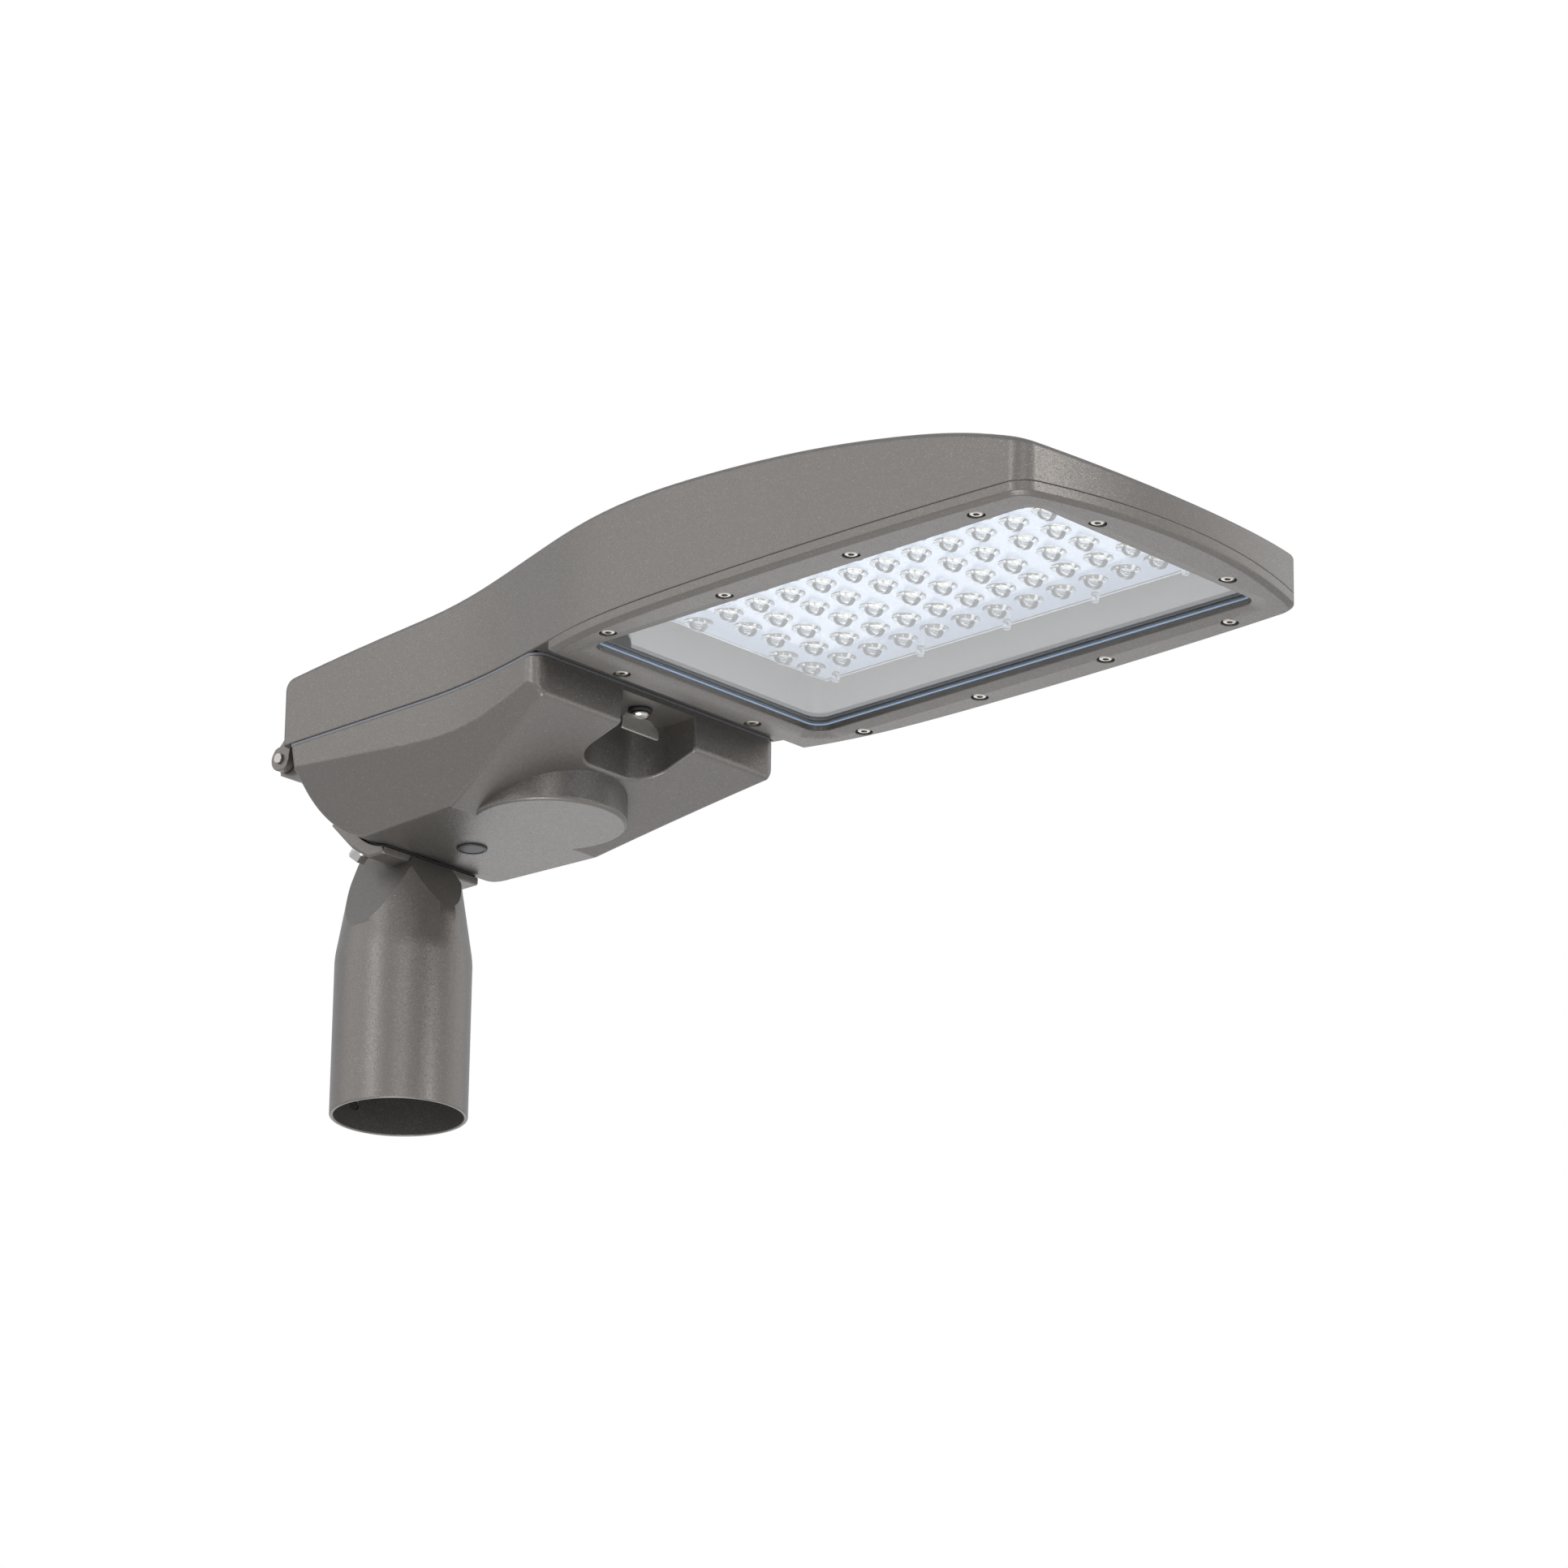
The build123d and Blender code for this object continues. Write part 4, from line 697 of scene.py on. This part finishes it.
def finish(name):
    """The finish of that name, made when it is first asked for."""
    if name in FINISHES:
        return FINISHES[name]
    sizes, colours = user_values()
    # Metals give hex, roughness and grit; mouldings hex, roughness, grain, relief and sheen
    makers = {
        "coat": lambda: powder_coat(sizes, colours),
        "steel": lambda: bright_steel("stainless_steel_turned", "#cfcdca", 0.24, 0.5),
        "wing": lambda: bright_steel("stainless_steel_sheet", "#bbb8b2", 0.38, 0.9),
        "zinc": lambda: bright_steel("zinc_plated_steel_sheet", "#b9bcc0", 0.38, 2.2),
        "brass": lambda: bright_steel("brass_turned", "#c9a24e", 0.28, 0.6),
        "rubber": lambda: moulded("epdm_rubber_moulded", "#1b1b1c", 0.6, 0.8),
        "silicone": lambda: moulded("silicone_rubber_extruded", "#3a3c40", 0.55, 1.0),
        "nylon": lambda: moulded("black_nylon_moulded", "#222224", 0.48, 0.7),
        "terminal": lambda: moulded("pale_nylon_moulded", "#cdc8ba", 0.45, 0.7),
        "driver": lambda: bright_steel("anodised_aluminium_case", "#c3c6c9", 0.42, 1.4),
        "window": lambda: moulded("smoked_polycarbonate", "#3e3f41", 0.3, 2.0, 0.02, 0.12),
        "tray": lambda: moulded("painted_aluminium_tray", colours.tray, 0.42, 1.2, 0.05),
        "board": lambda: moulded("white_solder_mask", colours.board, 0.34, 1.5, 0.04),
        "phosphor": lambda: moulded("led_phosphor_silicone", "#efe8cc", 0.3, 0.6, 0.04),
        "glass": lambda: clear("tempered_flat_glass", "#fcfcfa", 1.5, 0.0),
        "lens": lambda: clear("clear_acrylic_moulded", "#fdfeff", 1.38, 0.02),
        "peg": lambda: clear("clear_polycarbonate_peg", "#f4f4f2", 1.5, 0.04),
        # Pale blue that stands in for the glass edge's refracted light: a painted reflection
        "painted_edge_reflection": lambda: moulded("painted_glass_edge_reflection", "#bcd6f6", 0.4, 0.8),
        "lip": lambda: moulded("grey_silicone_lip", "#86888a", 0.5, 0.9),
        "cord": lambda: moulded("grey_silicone_cord", "#7d8084", 0.5, 0.8),
        "button": lambda: bright_steel("stainless_steel_button_head", "#c9c5be", 0.22, 0.5),
        "pad": lambda: moulded("silicone_thermal_pad", "#8d939b", 0.7, 0.9),
    }
    FINISHES[name] = makers[name]()
    return FINISHES[name]


NODE_FINISH = {
    "spigot": "coat",
    "gear_housing": "coat",
    "canopy": "coat",
    "glass_frame": "coat",
    "cradle_pad": "rubber",
    "clamp_plate": "zinc",
    "tilt_bolts": "steel",
    "tilt_washers": "steel",
    "cable_gland": "nylon",
    "grub_screws": "steel",
    "housing_gasket": "silicone",
    "hinge_pins": "wing",
    "sensor_bezel": "nylon",
    "sensor_window": "window",
    "latch_seal": "rubber",
    "gear_tray": "zinc",
    "tray_screws": "steel",
    "driver": "driver",
    "driver_screws": "steel",
    "surge_protector": "nylon",
    "terminal_block": "terminal",
    "cable_clamp": "nylon",
    "earth_screw": "brass",
    "frame_screws": "steel",
    "glass": "glass",
    "glass_gasket": "lip",
    "reflector_tray": "tray",
    "thermal_pad": "pad",
    "led_board": "board",
    "led_chips": "phosphor",
    "lens_plate": "lens",
    "lens_pegs": "lens",
    "wire_grommet": "rubber",
    "latch_pin": "steel",
    "latch_wing": "wing",
    "latch_cam": "steel",
}


def dress(obj, name):
    """Gives an object one finish."""
    obj.data.materials.clear()
    obj.data.materials.append(finish(name))
    return obj


def softened(node, name, finish_name):
    """A dressed copy of a small node with its sharp outer edges rounded, in the node's place."""
    piece = merged_copy(node, name)
    round_edges(piece, SMALL_EDGES[node] * MM)
    return dress(settle(piece, node), finish_name)


class STREETLIGHT_OT_castings(bpy.types.Operator):
    """Soft-edged copies of the powder-coated castings"""

    bl_idname = "streetlight.castings"
    bl_label = "Castings"

    def execute(self, context):
        sizes = context.scene.streetlight_sizes
        edge = sizes.casting_edge
        spigot = merged_copy("spigot", "spigot_casting")
        round_edges(spigot, edge, lambda x, y, z: z > NECK_EDGES_Z or z < SOCKET_MOUTH_Z)
        housing = merged_copy("gear_housing", "gear_housing_casting")
        round_edges(housing, sizes.recess_edge, in_recess_mouth, sharp=50)
        round_edges(housing, edge * 0.8, lambda x, y, z: z > HOUSING_RIM_Z)
        canopy = merged_copy("canopy", "canopy_casting")
        round_edges(canopy, edge * 0.8, lambda x, y, z: z < CANOPY_RIM_Z)
        glass_frame = merged_copy("glass_frame", "glass_frame_casting")
        round_edges(glass_frame, edge * 0.7, on_frame_edge)
        for piece, node, angle in (
            (spigot, "spigot", 20.0),
            (housing, "gear_housing", 32.0),
            (canopy, "canopy", 32.0),
            (glass_frame, "glass_frame", 32.0),
        ):
            dress(settle(piece, node, angle), "coat")
        return {"FINISHED"}


class STREETLIGHT_OT_seals(bpy.types.Operator):
    """The cord in the housing's seam, and a pale blue ring round the glass whose colour paints the
    glass edge's reflection
    """

    bl_idname = "streetlight.seals"
    bl_label = "Seals"

    def execute(self, context):
        softened("housing_gasket", "housing_gasket_cord", "cord")
        # A pale blue ring where the glass edge catches light: painted reflection
        painted_edge_reflection = ring("glass_edge_painted_reflection", OPEN_X, OPEN_HALF, OPEN_CORNER, PAINTED_REFLECTION_GROW, PAINTED_REFLECTION_Z)
        dress(painted_edge_reflection, "painted_edge_reflection")
        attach(painted_edge_reflection, "canopy")
        return {"FINISHED"}


class STREETLIGHT_OT_screws(bpy.types.Operator):
    """Button-head screws of the glass frame, with hexagon sockets"""

    bl_idname = "streetlight.screws"
    bl_label = "Frame screws"

    def execute(self, context):
        face = SCREW_SEAT_Z - HEAD_T
        middle = SCREW_SEAT_Z - HEAD_T / 2
        screw = cylinder("button_head_screws", (0, 0, middle * MM), HEAD_R * MM, HEAD_T * MM, 32)
        round_edges(screw, HEAD_ROUND * MM, lambda x, y, z: z < middle, segments=4)
        shank_z = SCREW_SEAT_Z + SHANK_LENGTH / 2 - SHANK_LAP
        shank = cylinder(
            "screw_shank", (0, 0, shank_z * MM), SHANK_R * MM, SHANK_LENGTH * MM, 16
        )
        combine(screw, shank, "UNION")
        key = cylinder("screw_key", (0, 0, face * MM), KEY_R * MM, 2 * KEY_DEPTH * MM, 6)
        combine(screw, key, "DIFFERENCE")
        screws = copies(screw, SCREW_PLACES, "button_head_screws")
        smooth(screws, 40.0)
        dress(screws, "button")
        stand_for(screws, "frame_screws")
        return {"FINISHED"}


class STREETLIGHT_OT_latch(bpy.types.Operator):
    """Turned latch pin, its seal and its wing, and the hinge pins"""

    bl_idname = "streetlight.latch"
    bl_label = "Latch and hinge pins"

    def execute(self, context):
        for node in ("latch_pin", "latch_seal", "latch_wing", "hinge_pins"):
            softened(node, node + "_turned", NODE_FINISH[node])
        return {"FINISHED"}


class STREETLIGHT_OT_lenses(bpy.types.Operator):
    """Clear lens plate with smooth double-humped lenses, hollow over their chips"""

    bl_idname = "streetlight.lenses"
    bl_label = "Lenses"

    def execute(self, context):
        sizes = context.scene.streetlight_sizes
        radius = sizes.lens_radius
        foot = (LENS_PLATE_Z + LENS_SINK) * MM
        brim_radii = (radius * BRIM_SHARES[0], radius * BRIM_SHARES[1], BRIM_HEIGHT * MM)
        lens = ellipsoid("lens_pattern", (0, 0, foot), brim_radii, 28)
        hump_height = sizes.lens_height + LENS_SINK * MM
        hump_radii = (radius * HUMP_SHARES[0], radius * HUMP_SHARES[1], hump_height)
        for side in (1, -1):
            hump = ellipsoid("lens_lobe", (0, side * HUMP_Y * MM, foot), hump_radii, 28)
            combine(lens, hump, "UNION")
        hollow = ellipsoid("lens_cavity", (0, 0, foot), [r * MM for r in HOLLOW_RADII], 20)
        combine(lens, hollow, "DIFFERENCE")
        cut_middle = foot + LENS_CUT / 2 * MM
        above = block("lens_above", (0, 0, cut_middle), (LENS_CUT * MM,) * 3)
        combine(lens, above, "DIFFERENCE")
        lenses = copies(lens, lens_places(), "lens_array")

        low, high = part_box("lens_plate")
        middle = (low + high) / 2
        middle.z = (LENS_PLATE_Z + LENS_PLATE_T / 2) * MM
        length = high.x - low.x - 2 * LENS_PLATE_INSET * MM
        plate = block("lens_sheet", middle, (length, high.y - low.y, LENS_PLATE_T * MM))
        combine(plate, lenses, "UNION")
        smooth(plate, 40.0)
        dress(plate, "lens")
        stand_for(plate, "lens_plate")
        return {"FINISHED"}


class STREETLIGHT_OT_board(bpy.types.Operator):
    """White board behind the lens plate, showing as its bright ground"""

    bl_idname = "streetlight.board"
    bl_label = "Board"

    def execute(self, context):
        low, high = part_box("lens_plate")
        bottom, top = BOARD_Z
        length = high.x - low.x - 2 * BOARD_INSET * MM
        middle = ((low.x + high.x) / 2, 0, (bottom + top) / 2 * MM)
        board = block("led_board_panel", middle, (length, high.y - low.y, (top - bottom) * MM))
        apply_modifier(board, "BEVEL", width=BOARD_EDGE * MM, segments=2)
        dress(board, "board")
        stand_for(board, "led_board")
        return {"FINISHED"}


class STREETLIGHT_OT_pegs(bpy.types.Operator):
    """Clear round pegs along the lens plate's edges"""

    bl_idname = "streetlight.pegs"
    bl_label = "Pegs"

    def execute(self, context):
        middle = (PEG_TIP_Z + PEG_FOOT_Z) / 2 * MM
        depth = (PEG_FOOT_Z - PEG_TIP_Z) * MM
        peg = cylinder("peg_pattern", (0, 0, middle), PEG_R * MM, depth, 20)
        apply_modifier(peg, "BEVEL", width=PEG_EDGE * MM, segments=2)
        pegs = copies(peg, peg_places(), "clear_pegs")
        smooth(pegs, 40.0)
        dress(pegs, "peg")
        stand_for(pegs, "lens_pegs")
        return {"FINISHED"}


class STREETLIGHT_OT_finishes(bpy.types.Operator):
    """Finishes for all carried-over parts"""

    bl_idname = "streetlight.finishes"
    bl_label = "Finishes"

    def execute(self, context):
        for node, name in NODE_FINISH.items():
            dress(NODES[node], name)
            smooth(NODES[node], 30.0)
        return {"FINISHED"}


class STREETLIGHT_OT_stage(bpy.types.Operator):
    """Pale floor, soft studio light and the camera"""

    bl_idname = "streetlight.stage"
    bl_label = "Stage"

    def execute(self, context):
        scene = context.scene
        scene.view_settings.view_transform = "Standard"
        deselect()
        bpy.ops.mesh.primitive_plane_add(size=60, location=(0, 0, FLOOR_Z))
        floor = named("studio_floor")
        # Matt paper with a faint fibre
        made, tree, shader, place = material("white_studio_paper")
        fibre = add_node(tree, "ShaderNodeTexNoise", {"Scale": 300.0}, [(place, "Vector")])
        ramp = add_node(tree, "ShaderNodeValToRGB", None, [(fibre.outputs["Fac"], "Fac")])
        set_ramp(ramp, [(0.3, grey(0.86)), (0.7, grey(0.9))])
        tree.links.new(ramp.outputs["Color"], shader.inputs["Base Color"])
        shader.inputs["Roughness"].default_value = 0.9
        floor.data.materials.append(made)

        world = bpy.data.worlds.new("studio_surround")
        scene.world = world
        world.use_nodes = True
        tree = world.node_tree
        tree.nodes.clear()
        rays = add_node(tree, "ShaderNodeLightPath")
        seen = add_node(tree, "ShaderNodeBackground", {"Color": grey(1.0), "Strength": 1.0})
        sky = linear("#f4f6fa")
        fill = add_node(tree, "ShaderNodeBackground", {"Color": sky, "Strength": WORLD_FILL})
        mix = add_node(
            tree,
            "ShaderNodeMixShader",
            None,
            [(rays.outputs["Is Camera Ray"], "Fac"), (fill.outputs[0], 1), (seen.outputs[0], 2)],
        )
        add_node(tree, "ShaderNodeOutputWorld", None, [(mix.outputs[0], "Surface")])

        for name, (turn, height), distance, size, watts in LAMPS:
            turn, height = math.radians(turn), math.radians(height)
            flat = math.cos(height)
            out = Vector((flat * math.cos(turn), flat * math.sin(turn), math.sin(height)))
            place = Vector(CAMERA_TARGET) + distance * out
            bpy.ops.object.light_add(type="AREA", location=place)
            lamp = named(name)
            lamp.data.shape = "RECTANGLE"
            lamp.data.size, lamp.data.size_y = size
            lamp.data.energy = watts
            lamp.rotation_euler = out.to_track_quat("Z", "Y").to_euler()

        azimuth = math.radians(CAMERA_AZIMUTH)
        elevation = math.radians(CAMERA_ELEVATION)
        roll = math.radians(CAMERA_ROLL)
        out = Vector(
            (
                math.cos(elevation) * math.cos(azimuth),
                math.cos(elevation) * math.sin(azimuth),
                math.sin(elevation),
            )
        )
        right = Vector((0, 0, 1)).cross(out).normalized()
        up = out.cross(right)
        turned_right = right * math.cos(roll) + up * math.sin(roll)
        turned_up = up * math.cos(roll) - right * math.sin(roll)
        spot = Vector(CAMERA_TARGET) + out * CAMERA_DISTANCE
        bpy.ops.object.camera_add()
        camera = named("photo_camera")
        camera.matrix_world = Matrix(
            (
                (turned_right.x, turned_up.x, out.x, spot.x),
                (turned_right.y, turned_up.y, out.y, spot.y),
                (turned_right.z, turned_up.z, out.z, spot.z),
                (0, 0, 0, 1),
            )
        )
        camera.data.lens = CAMERA_LENS
        camera.data.sensor_width = 36.0
        camera.data.clip_end = 100.0
        scene.camera = camera
        return {"FINISHED"}


class STREETLIGHT_PT_panel(bpy.types.Panel):
    """Lists the street light's pieces, sizes and colours"""

    bl_idname = "STREETLIGHT_PT_panel"
    bl_label = "Street light"
    bl_space_type = "VIEW_3D"
    bl_region_type = "UI"
    bl_category = "Street light"

    def draw(self, context):
        layout = self.layout
        for group in (context.scene.streetlight_sizes, context.scene.streetlight_colours):
            for key in group.__annotations__:
                layout.prop(group, key)
        for operator in OPERATORS:
            layout.operator(operator.bl_idname)


OPERATORS = (
    STREETLIGHT_OT_finishes,
    STREETLIGHT_OT_castings,
    STREETLIGHT_OT_seals,
    STREETLIGHT_OT_screws,
    STREETLIGHT_OT_latch,
    STREETLIGHT_OT_lenses,
    STREETLIGHT_OT_board,
    STREETLIGHT_OT_pegs,
    STREETLIGHT_OT_stage,
)
CLASSES = (STREETLIGHT_PG_sizes, STREETLIGHT_PG_colours, *OPERATORS, STREETLIGHT_PT_panel)


def register():
    """Registers the classes and the scene's properties."""
    for entry in CLASSES:
        bpy.utils.register_class(entry)
    bpy.types.Scene.streetlight_sizes = bpy.props.PointerProperty(type=STREETLIGHT_PG_sizes)
    bpy.types.Scene.streetlight_colours = bpy.props.PointerProperty(type=STREETLIGHT_PG_colours)


def unregister():
    """Takes the classes and properties away again."""
    del bpy.types.Scene.streetlight_colours
    del bpy.types.Scene.streetlight_sizes
    for entry in reversed(CLASSES):
        bpy.utils.unregister_class(entry)


def main():
    """Runs the operators in order."""
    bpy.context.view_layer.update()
    register()
    bpy.ops.streetlight.finishes()
    bpy.ops.streetlight.castings()
    bpy.ops.streetlight.seals()
    bpy.ops.streetlight.screws()
    bpy.ops.streetlight.latch()
    bpy.ops.streetlight.lenses()
    bpy.ops.streetlight.board()
    bpy.ops.streetlight.pegs()
    bpy.ops.streetlight.stage()


if __name__ == "__main__":
    main()
